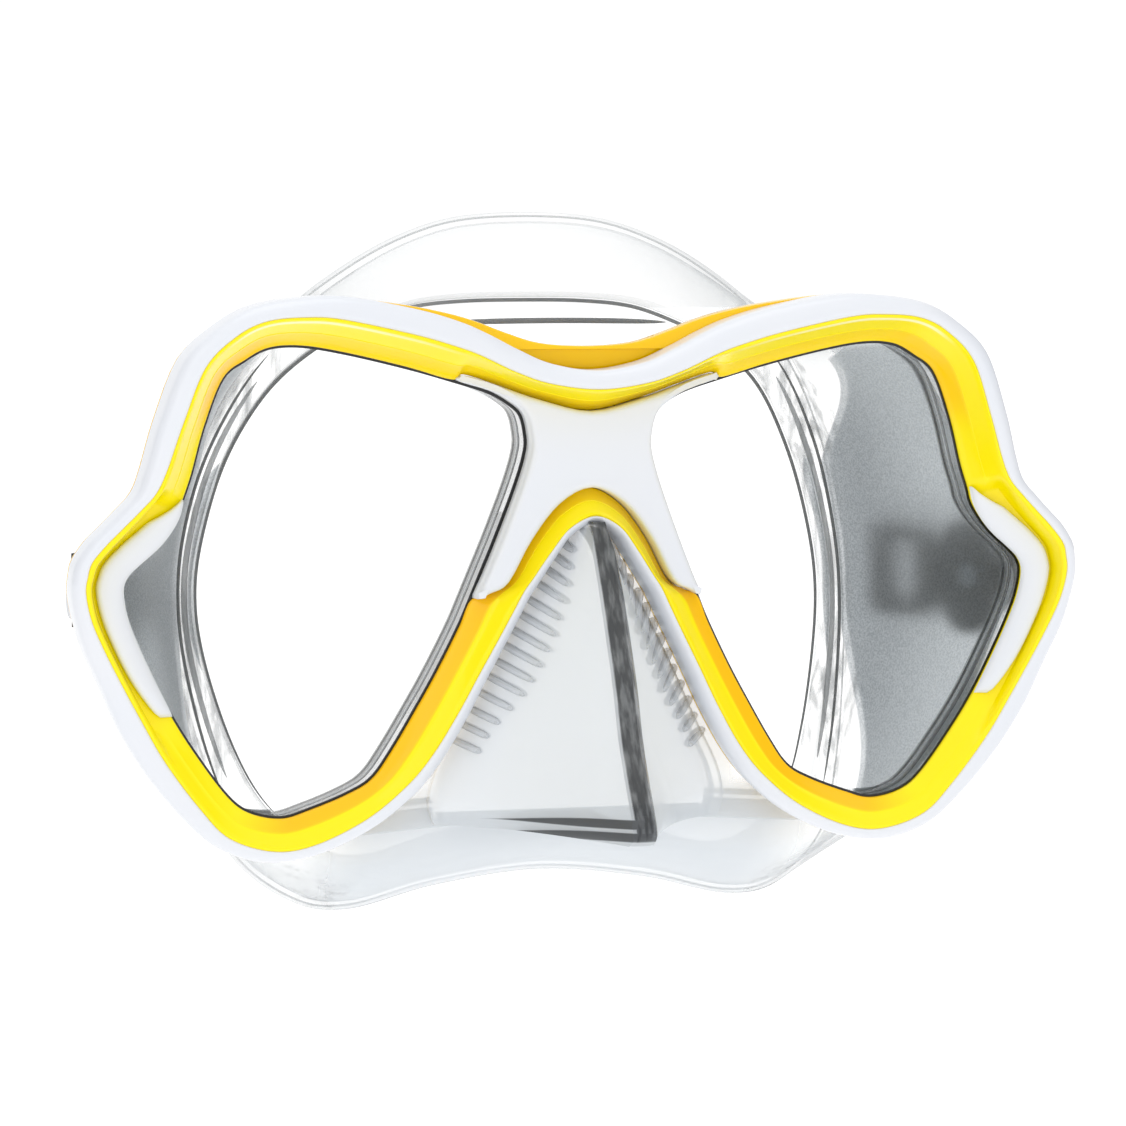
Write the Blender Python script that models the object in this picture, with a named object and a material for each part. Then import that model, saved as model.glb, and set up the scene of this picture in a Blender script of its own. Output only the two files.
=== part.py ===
"""Twin-lens snorkel mask with swivelling strap buckles, built as separate pieces.

The wearer looks along -Y, +X is the viewer's right and +Z is up. The world origin is the centre
of the flat pad on the front of the bridge cover. Outlines are drawn in millimetres about a datum
in the middle of the nose arch, and an empty carries the pieces from that datum to the world.
"""

import math

import bmesh
import bpy
from mathutils import Vector
from mathutils.geometry import tessellate_polygon

MM = 0.001

# Overall sizes. The outlines below are drawn at the DRAWN sizes and scaled to these.
FRAME_WIDTH = 175.6
FRAME_HEIGHT = 93.8
SKIRT_DEPTH = 52.0
DRAWN_WIDTH = 175.6
DRAWN_HEIGHT = 93.8
DRAWN_DEPTH = 52.0

# The lens plane: a little swept back to the sides and leaning back at the top.
LENS_FRONT = 9.05
LENS_SWEEP = 0.015
LENS_LEAN = -0.045

CLEARANCE = 0.3
LENS_THICKNESS = 3.4
LENS_BORDER = 2.5
FRAME_EDGE_INSET = 0.5
BROW_BAND = 2.4
BEZEL_LIP = 1.4
BEZEL_SHELF = 2.2
BEZEL_SHELF_SHARE = 0.76
NARROW_SHELF_SHARE = 0.8
BEZEL_CREST_WIDTH = 1.0
CREST_LOW = 2.8
CREST_HIGH = 9.0
CREST_ROUND = 0.4
SHELF_BELOW_CREST = 0.3
TRIM_SLOPE = 1.6
TRIM_LEAST_WALL = 1.2
TRIM_TOP_SHARE = 0.45
TRIM_SHOULDER_SHARE = 0.85
ACCENT_THICKNESS = 1.3
BRIDGE_HEIGHT = 4.25
COVER_TIP_SHARE = 0.25
BRIDGE_PAD_Z = 20.0
SKIRT_WALL = 1.8
NOSE_WALL = 1.6
RIM_STEPS = 2
SKIRT_STEPS = 3
NECK_INSET = 3.2
NECK_DEPTH = 3.0
PAST_OPENING = 40.0
CUT_PAST_WALL = 0.4

# Strap buckle, in its own directions: back along the skirt, out from the skirt, and up.
BUCKLE_HEIGHT = -5.5
BOSS_HALF_LENGTH = 6.5
BOSS_HALF_HEIGHT = 12.5
BOSS_RISE = 2.0
BOSS_ROOT = 4.5
PLATE_LENGTH = 10.0
PLATE_HEIGHT = 21.0
PLATE_THICKNESS = 2.2
SWIVEL_RADIUS = 2.2
SWIVEL_HEAD_RADIUS = 4.2
SWIVEL_HEAD_HEIGHT = 1.2
SWIVEL_BASE = 0.5
BODY_THICKNESS = 4.4
ARM_HALF_HEIGHT = 6.25
ARM_LENGTH = 9.0
FORK_HALF_HEIGHT = 8.4
FORK_FLARE = 3.5
FORK_CORNER = 2.0
CORNER_FLAT = 0.5
SLOT_HALF_HEIGHT = 5.6
SLOT_LENGTH = 12.0
REAR_BAR = 2.6
ROLLER_RADIUS = 1.7
ROLLER_BORE = 0.9
ROLLER_PLACE = 2.4
AXLE_RADIUS = 0.6
EAR_HEIGHT = 3.0
EAR_LENGTH = 3.4
EAR_WIDTH = 1.4
LEVER_THICKNESS = 1.6
LEVER_LENGTH = 7.5
LEVER_BARREL = 1.3
SPRING_LENGTH = 3.0
SPRING_RADIUS = 1.25
ROUND_SIDES = 20

# Right half of the rim, from the middle of the brow round the temple to the nose arch:
# (x, z) of the bezel's inner edge, of its crest, and of the outer edge of the white trim.
RIM = [
    ((0.0, 25.2), (0.0, 28.8), (0.0, 32.0)),
    ((9.0, 27.2), (8.4, 29.8), (8.0, 33.2)),
    ((15.5, 29.4), (14.5, 31.8), (13.8, 35.6)),
    ((21.5, 31.3), (20.4, 34.5), (19.0, 38.2)),
    ((23.6, 30.5), (24.5, 36.0), (24.0, 40.3)),
    ((31.4, 32.7), (31.9, 38.1), (31.5, 42.4)),
    ((41.6, 35.1), (43.8, 40.6), (42.8, 44.4)),
    ((49.0, 36.3), (50.0, 41.0), (51.0, 44.2)),
    ((54.5, 36.0), (56.5, 40.4), (58.0, 42.9)),
    ((58.5, 34.0), (61.5, 38.0), (63.5, 40.0)),
    ((62.2, 31.0), (66.5, 33.0), (69.5, 34.5)),
    ((65.3, 23.2), (70.0, 24.0), (73.5, 24.5)),
    ((67.4, 15.4), (72.5, 16.5), (75.8, 16.5)),
    ((68.8, 11.2), (74.3, 12.6), (77.3, 12.6)),
    ((69.6, 8.5), (77.0, 9.6), (80.0, 9.6)),
    ((71.4, 5.6), (79.8, 6.8), (82.6, 7.0)),
    ((73.5, 3.2), (82.3, 4.3), (85.0, 4.6)),
    ((76.6, 0.5), (84.6, 1.5), (87.0, 1.6)),
    ((78.3, -1.3), (85.3, -0.8), (87.6, -0.8)),
    ((79.0, -3.5), (85.6, -3.5), (87.8, -3.8)),
    ((78.4, -7.4), (84.7, -7.8), (87.0, -8.2)),
    ((76.8, -11.8), (82.8, -12.3), (85.5, -13.2)),
    ((74.0, -17.9), (79.9, -18.0), (82.6, -19.5)),
    ((70.6, -24.5), (76.3, -24.6), (79.2, -27.0)),
    ((66.5, -31.0), (72.0, -32.0), (74.5, -34.5)),
    ((61.3, -38.0), (66.0, -40.0), (68.2, -42.0)),
    ((57.5, -41.0), (61.0, -45.0), (62.3, -47.0)),
    ((52.0, -42.2), (53.5, -47.4), (54.5, -49.4)),
    ((47.0, -40.9), (46.5, -46.5), (46.0, -48.4)),
    ((40.5, -38.4), (38.0, -42.5), (37.0, -44.5)),
    ((36.5, -36.0), (31.5, -37.3), (30.0, -39.2)),
    ((33.2, -31.5), (27.2, -32.3), (25.4, -33.8)),
    ((29.0, -24.5), (22.9, -25.3), (21.1, -26.6)),
    ((25.5, -18.3), (19.3, -18.5), (17.6, -19.6)),
    ((21.8, -11.0), (15.8, -12.0), (14.2, -13.0)),
    ((19.9, -6.6), (13.6, -7.8), (12.0, -8.7)),
    ((17.2, -5.2), (12.0, -4.7), (10.5, -5.7)),
    ((14.2, -3.4), (10.4, -2.4), (9.0, -3.4)),
    ((10.2, 3.8), (7.4, 2.0), (6.3, 0.8)),
    ((5.5, 9.6), (4.3, 5.8), (3.7, 4.4)),
    ((0.0, 12.2), (0.0, 7.7), (0.0, 6.2)),
]
# Where the lens opening leaves the bezel for the bridge cover, as places in RIM.
LENS_TOP_CORNER = 4
LENS_LOW_CORNER = 35
# The lens opening along the bridge cover, from the top corner down.
NOSE_SIDE = [
    (17.0, 28.4),
    (13.2, 26.2),
    (11.5, 24.5),
    (10.7, 21.7),
    (10.6, 18.5),
    (12.2, 12.8),
    (15.4, 4.3),
    (18.0, -2.0),
]
# Stretch of RIM that carries the temple cover, and the cover's width there as a share of the bezel.
ACCENT_START = 13
ACCENT_SHARES = [0.2, 0.47, 0.6, 0.66, 0.67, 0.67, 0.67, 0.66, 0.67, 0.66, 0.5]

# Right half of the skirt's chamber, from the middle of the forehead round to under the nose:
# (x, z) of the front edge, then (x, y, z) half way back, at the rear edge and at the face opening.
CHAMBER = [
    ((0, 28), (0, 26, 42), (0, 45, 58.3), (0, 47, 49)),
    ((12, 31), (12.3, 26, 42.8), (12.5, 45, 57.5), (11, 47, 48.5)),
    ((22, 36), (22.5, 26, 42.5), (22.5, 45, 54.5), (20, 47, 45.5)),
    ((34, 40), (33, 27, 41), (32, 45, 49.5), (28, 47, 41)),
    ((46, 42), (43, 27, 39.5), (42, 46, 42), (36.5, 48, 35.5)),
    ((60, 39.5), (55, 27, 34), (51, 48, 31), (45, 50, 28)),
    ((71, 24), (64, 27, 23), (57.5, 51, 18), (51.5, 53, 17)),
    ((76, 9.5), (68, 26, 10), (61, 53, 6), (55.5, 54, 5)),
    ((84, -3.5), (73.5, 26, -2), (62.5, 53, -6), (57.5, 54, -7)),
    ((81, -15), (72, 26, -15), (62, 51, -20), (56.5, 52, -19)),
    ((72.5, -32.5), (67.5, 24, -33), (59, 46, -38), (52.5, 47, -34)),
    ((61, -44.5), (58.5, 23, -46), (54, 41, -52), (47.5, 42, -44)),
    ((49, -46.5), (47, 21, -51), (44, 38, -60), (39.5, 39.5, -50.5)),
    ((35, -46), (35, 20, -53), (34, 37.5, -61.5), (31, 39, -52.5)),
    ((20, -45), (20, 20, -52), (19, 37.5, -58), (17.5, 39, -49)),
    ((0, -45), (0, 20, -50), (0, 38, -56), (0, 39.5, -47)),
]
# Nose pocket: height, half width and the ridge's y, from the arch down to the chin of the pocket.
NOSE = [
    (4.6, 3.2, 2.2),
    (0.0, 5.8, -2.0),
    (-6.0, 9.2, -5.4),
    (-13.0, 13.0, -9.0),
    (-20.0, 16.6, -12.6),
    (-28.0, 19.6, -16.8),
    (-36.0, 19.4, -21.4),
    (-41.5, 17.0, -25.0),
    (-44.0, 15.0, -22.5),
]
NOSE_BACK = 21.0
NOSE_FULLNESS = 1.35
NOSE_RIDGE = 2.4

COLOURS = {
    "clear_silicone": ((0.86, 0.89, 0.91, 1.0), 0.25, 0.0),
    "lens_glass": ((0.93, 0.96, 0.97, 1.0), 0.05, 0.0),
    "yellow_gloss": ((0.95, 0.83, 0.01, 1.0), 0.18, 0.0),
    "white_satin": ((0.86, 0.88, 0.90, 1.0), 0.28, 0.0),
    "black_plastic": ((0.03, 0.03, 0.035, 1.0), 0.45, 0.0),
    "steel": ((0.62, 0.63, 0.65, 1.0), 0.25, 1.0),
}

WIDE = FRAME_WIDTH / DRAWN_WIDTH
TALL = FRAME_HEIGHT / DRAWN_HEIGHT
DEEP = SKIRT_DEPTH / DRAWN_DEPTH


def lens_plane(x, z):
    """The y of the lenses' front faces."""
    return LENS_FRONT + LENS_SWEEP * abs(x) + LENS_LEAN * z


def crest_rise(z):
    """How far the bezel's crest stands in front of the lenses, more at the brow than at the cheek."""
    low, high = -49.4 * TALL, 44.4 * TALL
    share = min(max((z - low) / (high - low), 0.0), 1.0)
    return CREST_LOW + (CREST_HIGH - CREST_LOW) * share


def smooth_closed(points, steps):
    """Catmull-Rom curve through a closed list of points, with steps points for each one."""
    count = len(points)
    curve = []
    for i in range(count):
        p0, p1, p2, p3 = (Vector(points[(i + k) % count]) for k in (-1, 0, 1, 2))
        for step in range(steps):
            t = step / steps
            a = 2 * p1 + (p2 - p0) * t
            b = (2 * p0 - 5 * p1 + 4 * p2 - p3) * t * t
            c = (3 * p1 - p0 - 3 * p2 + p3) * t * t * t
            curve.append((a + b + c) / 2)
    return curve


def mirrored(half):
    """The whole closed loop from its right half, whose first and last points lie on x = 0."""
    other = [(-p[0], *p[1:]) for p in reversed(half[1:-1])]
    return [tuple(p) for p in half] + other


def offset_loop(loop, distance):
    """A closed (x, z) loop moved outwards by distance."""
    count = len(loop)
    area = sum(loop[i - 1][0] * loop[i][1] - loop[i][0] * loop[i - 1][1] for i in range(count))
    turn = 1.0 if area > 0 else -1.0
    moved = []
    for i in range(count):
        along = (Vector(loop[(i + 1) % count]) - Vector(loop[i - 1])).normalized()
        moved.append(Vector(loop[i]) + Vector((along.y, -along.x)) * turn * distance)
    return moved


def scaled(point):
    return (point[0] * WIDE, point[1] * TALL)


def rim_loop(which):
    """One of the three rim loops: 0 inner edge, 1 crest, 2 outer edge."""
    return smooth_closed(mirrored([scaled(row[which]) for row in RIM]), RIM_STEPS)


def lens_loop():
    """The right lens opening."""
    edge = [row[0] for row in RIM[LENS_TOP_CORNER : LENS_LOW_CORNER + 1]]
    return smooth_closed([scaled(p) for p in edge + NOSE_SIDE[::-1]], RIM_STEPS)


def flipped(loop):
    return [Vector((-p[0], p[1])) for p in loop]


def material(name):
    """The named material, made once."""
    found = bpy.data.materials.get(name)
    if found:
        return found
    colour, roughness, metallic = COLOURS[name]
    made = bpy.data.materials.new(name)
    made.use_nodes = True
    made.diffuse_color = colour
    shader = made.node_tree.nodes["Principled BSDF"]
    shader.inputs["Base Color"].default_value = colour
    shader.inputs["Roughness"].default_value = roughness
    shader.inputs["Metallic"].default_value = metallic
    return made


def add_object(name, bm, colour, origin=(0.0, 0.0, 0.0)):
    """A named object from a mesh drawn in millimetres about the datum, with its origin given."""
    start = Vector(origin)
    for vertex in bm.verts:
        vertex.co = (vertex.co - start) * MM
    bmesh.ops.recalc_face_normals(bm, faces=bm.faces)
    mesh = bpy.data.meshes.new(name)
    bm.to_mesh(mesh)
    bm.free()
    mesh.shade_smooth()
    mesh.set_sharp_from_angle(angle=math.radians(35))
    mesh.materials.append(material(colour))
    made = bpy.data.objects.new(name, mesh)
    made.parent = bpy.data.objects["datum"]
    made.location = start * MM
    bpy.context.scene.collection.objects.link(made)
    return made


def as_helper(made):
    """Marks a cutter or a shape that is joined to another, which isn't a piece itself."""
    made.hide_render = True
    made.display_type = "WIRE"
    return made


def boolean(target, helper, operation):
    modifier = target.modifiers.new(helper.name, "BOOLEAN")
    modifier.operation = operation
    modifier.object = as_helper(helper)


def skin(sections, closed):
    """A mesh through sections with equal counts of points, joined end to end or capped."""
    bm = bmesh.new()
    rows = [[bm.verts.new(point) for point in section] for section in sections]
    count = len(rows[0])
    pairs = list(zip(rows, rows[1:]))
    if closed:
        pairs.append((rows[-1], rows[0]))
    for row, following in pairs:
        for i in range(count):
            j = (i + 1) % count
            bm.faces.new((row[i], row[j], following[j], following[i]))
    if not closed:
        bm.faces.new(rows[0])
        bm.faces.new(rows[-1][::-1])
    return bm


def plate(loops, front, back):
    """A solid sheet between two heights: the first (x, z) loop is its edge, the others its holes."""
    bm = bmesh.new()
    faces = []
    for height in (front, back):
        rows = [[bm.verts.new((p[0], height(p[0], p[1]), p[1])) for p in loop] for loop in loops]
        flat = [[Vector((p[0], p[1], 0.0)) for p in loop] for loop in loops]
        every = [vertex for row in rows for vertex in row]
        for triangle in tessellate_polygon(flat):
            bm.faces.new([every[i] for i in triangle])
        faces.append(rows)
    for near, far in zip(*faces):
        for i in range(len(near)):
            j = (i + 1) % len(near)
            bm.faces.new((near[i], near[j], far[j], far[i]))
    return bm


def at_lens(extra):
    """Height function at a distance behind the lenses' front faces."""
    return lambda x, z: lens_plane(x, z) + extra


def on_rim(point, extra):
    return (point[0], lens_plane(point[0], point[1]) + extra, point[1])


def between(a, b, share):
    return Vector(a) + (Vector(b) - Vector(a)) * share


def shelf_height(crest_z):
    """How far the bezel's face stands in front of the lenses at the foot of its crest."""
    return min(BEZEL_SHELF, crest_rise(crest_z) - SHELF_BELOW_CREST)


def make_lenses():
    glass = offset_loop(lens_loop(), LENS_BORDER)
    for name, loop in (("lens_right", glass), ("lens_left", flipped(glass))):
        add_object(name, plate([loop], at_lens(0.0), at_lens(LENS_THICKNESS)), "lens_glass")


def make_main_frame():
    """The flat structural frame that holds both lenses, showing as a band above the brow."""
    half = []
    for index, row in enumerate(RIM):
        x, z = scaled(row[2])
        brow = max(0.0, 1.0 - index / 7) * BROW_BAND
        half.append((x, z + brow))
    edge = offset_loop(smooth_closed(mirrored(half), RIM_STEPS), -FRAME_EDGE_INSET)
    hole = offset_loop(lens_loop(), LENS_BORDER + CLEARANCE)
    bm = plate([edge, hole, flipped(hole)], at_lens(0.0), at_lens(LENS_THICKNESS))
    add_object("main_frame", bm, "yellow_gloss")


def make_front_bezel():
    """The yellow ring that clamps the lenses from the front."""
    inner = rim_loop(0)
    crest = offset_loop(rim_loop(1), -CLEARANCE / 2)
    sections = []
    for a, b in zip(inner, crest):
        top_share = 1.0 - BEZEL_CREST_WIDTH / (b - a).length
        foot_share = BEZEL_SHELF_SHARE
        if foot_share >= top_share:
            foot_share = top_share * NARROW_SHELF_SHARE
        rise = crest_rise(b[1])
        sections.append(
            [
                on_rim(a, -CLEARANCE),
                on_rim(a, -BEZEL_LIP),
                on_rim(between(a, b, foot_share), -shelf_height(b[1])),
                on_rim(between(a, b, top_share), -rise),
                on_rim(b, -rise + CREST_ROUND),
                on_rim(b, -CLEARANCE),
            ]
        )
    add_object("front_bezel", skin(sections, True), "yellow_gloss")


def make_outer_trim():
    """The white rim round the bezel's crest."""
    crest = offset_loop(rim_loop(1), CLEARANCE / 2)
    outer = rim_loop(2)
    sections = []
    for a, b in zip(crest, outer):
        rise = crest_rise(a[1])
        slope = min(TRIM_SLOPE, rise - TRIM_LEAST_WALL)
        sections.append(
            [
                on_rim(a, -CLEARANCE),
                on_rim(a, -rise + SHELF_BELOW_CREST),
                on_rim(between(a, b, TRIM_TOP_SHARE), -rise),
                on_rim(between(a, b, TRIM_SHOULDER_SHARE), -rise + slope / 2),
                on_rim(b, -rise + slope),
                on_rim(b, -CLEARANCE),
            ]
        )
    add_object("outer_trim", skin(sections, True), "white_satin")


def bridge_front(x, z):
    """The flat front of the bridge cover."""
    return lens_plane(0.0, BRIDGE_PAD_Z * TALL) - BRIDGE_HEIGHT


def make_bridge_cover():
    """The white cover between the lens openings, its four tips drawn back from the bezel's corners."""
    top = [row[0] for row in RIM[:LENS_TOP_CORNER]]
    low = [row[0] for row in RIM[LENS_LOW_CORNER + 1 :]]
    high_tip = between(RIM[LENS_TOP_CORNER][0], NOSE_SIDE[0], COVER_TIP_SHARE)
    low_tip = between(RIM[LENS_LOW_CORNER][0], NOSE_SIDE[-1], COVER_TIP_SHARE)
    half = [scaled(p) for p in [*top, high_tip, *NOSE_SIDE, low_tip, *low]]
    loop = offset_loop(smooth_closed(mirrored(half), RIM_STEPS), -CLEARANCE)
    add_object("bridge_cover", plate([loop], bridge_front, at_lens(-CLEARANCE)), "white_satin")


def make_temple_covers():
    """White covers that lie in the bezel's shelf at the temples."""
    for name, side in (("temple_cover_right", 1), ("temple_cover_left", -1)):
        sections = []
        for index, share in enumerate(ACCENT_SHARES):
            inner, crest, _ = RIM[ACCENT_START + index]
            a, b = Vector(scaled(inner)), Vector(scaled(crest))
            shelf = shelf_height(b[1])
            edge = between(a, b, share)
            fall = BEZEL_LIP + (shelf - BEZEL_LIP) * share / BEZEL_SHELF_SHARE
            low = -BEZEL_LIP - CLEARANCE - 0.1
            far = -fall - CLEARANCE - 0.1
            points = [
                on_rim(a, low),
                on_rim(a, low - ACCENT_THICKNESS),
                on_rim(edge, far - ACCENT_THICKNESS),
                on_rim(edge, far),
            ]
            sections.append([(side * p[0], p[1], p[2]) for p in points])
        add_object(name, skin(sections, False), "white_satin")


def chamber_rows():
    """The chamber's four closed loops of (x, y, z), front to back."""
    rows = []
    for which in range(4):
        half = []
        for station in CHAMBER:
            point = station[which]
            if which == 0:
                x, z = scaled(point)
                y = lens_plane(x, z) + LENS_THICKNESS + CLEARANCE
            else:
                x, z = scaled((point[0], point[2]))
                y = point[1] * DEEP
            half.append((x, y, z))
        rows.append(smooth_closed(mirrored(half), SKIRT_STEPS))
    return rows


def inset_row(row, distance, back):
    """A chamber loop drawn in by distance across and moved back."""
    flat = offset_loop([(p[0], p[2]) for p in row], -distance)
    return [Vector((q[0], p[1] + back, q[1])) for p, q in zip(row, flat)]


def nose_sections(wall, back):
    """Level sections of the nose pocket, drawn in by the wall thickness."""
    sections = []
    for index, (z, half_width, ridge) in enumerate(NOSE):
        half_width = half_width * WIDE - wall
        height = z * TALL
        if index == 0:
            height -= wall
        if index == len(NOSE) - 1:
            height += wall
        ridge_y = ridge + wall * 1.2
        root = lens_plane(half_width, height) + 1.0
        shares = [0.0, 0.1, 0.22, 0.4, 0.6, 0.8, 1.0]
        ridge_half = NOSE_RIDGE * half_width / (half_width + wall)
        half = [(0.0, ridge_y)]
        for s in shares:
            fall = (root - ridge_y - 0.5) * s**NOSE_FULLNESS
            half.append((ridge_half + s * (half_width - ridge_half), ridge_y + 0.5 + fall))
        half.append((half_width, back))
        half.append((0.0, back))
        loop = mirrored(half)
        sections.append([(p[0], p[1], height) for p in loop])
    return sections


def make_skirt():
    """The silicone body: chamber, nose pocket and face flange in one moulding."""
    front, middle, rear, opening = chamber_rows()
    neck = inset_row(front, NECK_INSET, NECK_DEPTH)
    outside = [front, neck, middle, rear]
    skirt = add_object("skirt", skin(outside, False), "clear_silicone")
    nose = add_object("nose_shape", skin(nose_sections(0.0, NOSE_BACK), False), "clear_silicone")
    boolean(skirt, nose, "UNION")
    for side in (1, -1):
        boss = skin(buckle_outline(boss_outline(), (-BOSS_ROOT, 0.0), side), False)
        name = "boss_shape_" + side_name(side)
        boolean(skirt, add_object(name, boss, "clear_silicone"), "UNION")
    past = Vector((0.0, PAST_OPENING, 0.0))
    hollow = [
        inset_row(front, NECK_INSET + SKIRT_WALL / 2, SKIRT_WALL),
        inset_row(neck, SKIRT_WALL, SKIRT_WALL / 2),
        inset_row(middle, SKIRT_WALL, 0.0),
        inset_row(rear, SKIRT_WALL, -SKIRT_WALL),
        inset_row(opening, 0.0, -2 * SKIRT_WALL),
        [p + past for p in opening],
    ]
    boolean(skirt, add_object("chamber_hollow", skin(hollow, False), "clear_silicone"), "DIFFERENCE")
    nose_hollow = skin(nose_sections(NOSE_WALL, NOSE_BACK + 2.0), False)
    boolean(skirt, add_object("nose_hollow", nose_hollow, "clear_silicone"), "DIFFERENCE")
    opening_loop = lens_loop()
    past_wall = LENS_THICKNESS + CLEARANCE + SKIRT_WALL + CUT_PAST_WALL
    for side in (1, -1):
        loop = opening_loop if side > 0 else flipped(opening_loop)
        cut = plate([loop], at_lens(LENS_THICKNESS - 1.0), at_lens(past_wall))
        name = "lens_cut_" + side_name(side)
        boolean(skirt, add_object(name, cut, "clear_silicone"), "DIFFERENCE")


def side_name(side):
    return "right" if side > 0 else "left"


def buckle_frame():
    """The right buckle's place: its pivot on the boss and its back and out directions."""
    _, middle, rear, _ = chamber_rows()
    station = 8 * SKIRT_STEPS
    slope = rear[station] - middle[station]
    along = Vector((slope.x, slope.y, 0.0)).normalized()
    out = Vector((along.y, -along.x, 0.0))
    start = Vector((middle[station].x, middle[station].y, 0.0))
    return start + out * BOSS_RISE, along, out


def buckle_point(back, out, up, side):
    """A point given in the buckle's own directions, on the right or left side."""
    seat, along, outward = buckle_frame()
    point = seat + along * back + outward * out
    return Vector((side * point.x, point.y, up + BUCKLE_HEIGHT))


def buckle_outline(outline, heights, side):
    """Sections of an upright outline (back, up) between distances out from the boss."""
    return [[buckle_point(a, height, c, side) for a, c in outline] for height in heights]


def rounded_box(half_length, half_height, radius, centre=0.0):
    """A rectangle with round corners, as (back, up) points."""
    points = []
    for quarter, (sx, sy) in enumerate(((1, 1), (-1, 1), (-1, -1), (1, -1))):
        for step in range(5):
            angle = math.radians(90 * quarter + 22.5 * step)
            x = sx * (half_length - radius) + radius * math.cos(angle)
            y = sy * (half_height - radius) + radius * math.sin(angle)
            points.append((centre + x, y))
    return points


def boss_outline():
    return rounded_box(BOSS_HALF_LENGTH, BOSS_HALF_HEIGHT, BOSS_HALF_LENGTH - CORNER_FLAT)


def circle(radius, centre=(0.0, 0.0)):
    steps = [2 * math.pi * i / ROUND_SIDES for i in range(ROUND_SIDES)]
    return [(centre[0] + radius * math.cos(a), centre[1] + radius * math.sin(a)) for a in steps]


def pierced(outline, holes, low, high, side):
    """A flat buckle part from an upright outline with holes, between two distances out."""
    loops = [outline, *holes]
    flat = plate(loops, lambda a, c: low, lambda a, c: high)
    for vertex in flat.verts:
        vertex.co = buckle_point(vertex.co.x, vertex.co.y, vertex.co.z, side)
    return flat


def upright(radius, centre, low, high, side, bore=0.0):
    """A round piece whose axis is upright, solid or with a bore; centre is (back, out)."""
    bm = bmesh.new()
    rows = []
    for ring_radius in (radius, bore) if bore else (radius,):
        for up in (low, high):
            points = circle(ring_radius, centre)
            rows.append([bm.verts.new(buckle_point(p[0], p[1], up, side)) for p in points])
    order = [(0, 1), (1, 3), (3, 2), (2, 0)] if bore else [(0, 1)]
    for a, b in order:
        for i in range(ROUND_SIDES):
            j = (i + 1) % ROUND_SIDES
            bm.faces.new((rows[a][i], rows[a][j], rows[b][j], rows[b][i]))
    if not bore:
        bm.faces.new(rows[0])
        bm.faces.new(rows[1])
    return bm


# Distances out from the boss, and back from the swivel, of what sits on it.
PLATE_BASE = CLEARANCE
PLATE_TOP = PLATE_BASE + PLATE_THICKNESS
BODY_BASE = PLATE_TOP + CLEARANCE
BODY_TOP = BODY_BASE + BODY_THICKNESS
FORK_START = ARM_LENGTH
SLOT_START = FORK_START + FORK_FLARE
SLOT_END = SLOT_START + SLOT_LENGTH
BODY_END = SLOT_END + REAR_BAR
ROLLER_BACK = SLOT_START + ROLLER_PLACE
ROLLER_OUT = (BODY_BASE + BODY_TOP) / 2
LEVER_BACK = ARM_LENGTH
LEVER_OUT = BODY_TOP + CLEARANCE + LEVER_BARREL + 0.2
EAR_INNER = ARM_HALF_HEIGHT - EAR_WIDTH


def body_outline():
    """The buckle body seen from outside: a round-nosed arm that flares into the strap fork."""
    half = []
    for step in range(9):
        angle = math.radians(180 - 11.25 * step)
        half.append((ARM_HALF_HEIGHT * math.cos(angle), ARM_HALF_HEIGHT * math.sin(angle)))
    half += [
        (FORK_START, ARM_HALF_HEIGHT),
        (SLOT_START, FORK_HALF_HEIGHT),
        (BODY_END - FORK_CORNER, FORK_HALF_HEIGHT),
        (BODY_END - FORK_CORNER * 0.3, FORK_HALF_HEIGHT - FORK_CORNER * 0.3),
        (BODY_END, FORK_HALF_HEIGHT - FORK_CORNER),
    ]
    return half + [(a, -c) for a, c in reversed(half[1:])]


def make_buckle_body(side):
    name = side_name(side)
    slot = rounded_box(SLOT_LENGTH / 2, SLOT_HALF_HEIGHT, 1.0, SLOT_START + SLOT_LENGTH / 2)
    holes = [circle(SWIVEL_RADIUS + CLEARANCE), slot]
    shape = pierced(body_outline(), holes, BODY_BASE, BODY_TOP, side)
    seat, _, _ = buckle_frame()
    pivot = Vector((side * seat.x, seat.y, BUCKLE_HEIGHT))
    body = add_object("buckle_body_" + name, shape, "black_plastic", pivot)
    for where, low in (("upper", EAR_INNER), ("lower", -ARM_HALF_HEIGHT)):
        outline = [
            (LEVER_BACK - EAR_LENGTH / 2, BODY_TOP - 1.0),
            (LEVER_BACK + EAR_LENGTH / 2, BODY_TOP - 1.0),
            (LEVER_BACK + EAR_LENGTH / 2, BODY_TOP + EAR_HEIGHT - 1.0),
            (LEVER_BACK + EAR_LENGTH / 2 - 0.8, BODY_TOP + EAR_HEIGHT),
            (LEVER_BACK - EAR_LENGTH / 2 + 0.8, BODY_TOP + EAR_HEIGHT),
            (LEVER_BACK - EAR_LENGTH / 2, BODY_TOP + EAR_HEIGHT - 1.0),
        ]
        heights = (low, low + EAR_WIDTH)
        sections = [[buckle_point(a, b, up, side) for a, b in outline] for up in heights]
        ear = add_object(f"ear_shape_{where}_{name}", skin(sections, False), "black_plastic")
        boolean(body, ear, "UNION")
    reach = FORK_HALF_HEIGHT + 1.0
    bore = AXLE_RADIUS + CLEARANCE
    for label, centre in (
        ("axle", (ROLLER_BACK, ROLLER_OUT)),
        ("lever", (LEVER_BACK, LEVER_OUT)),
    ):
        cut = upright(bore, centre, -reach, reach, side)
        boolean(body, add_object(f"{label}_bore_{name}", cut, "black_plastic"), "DIFFERENCE")


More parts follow.
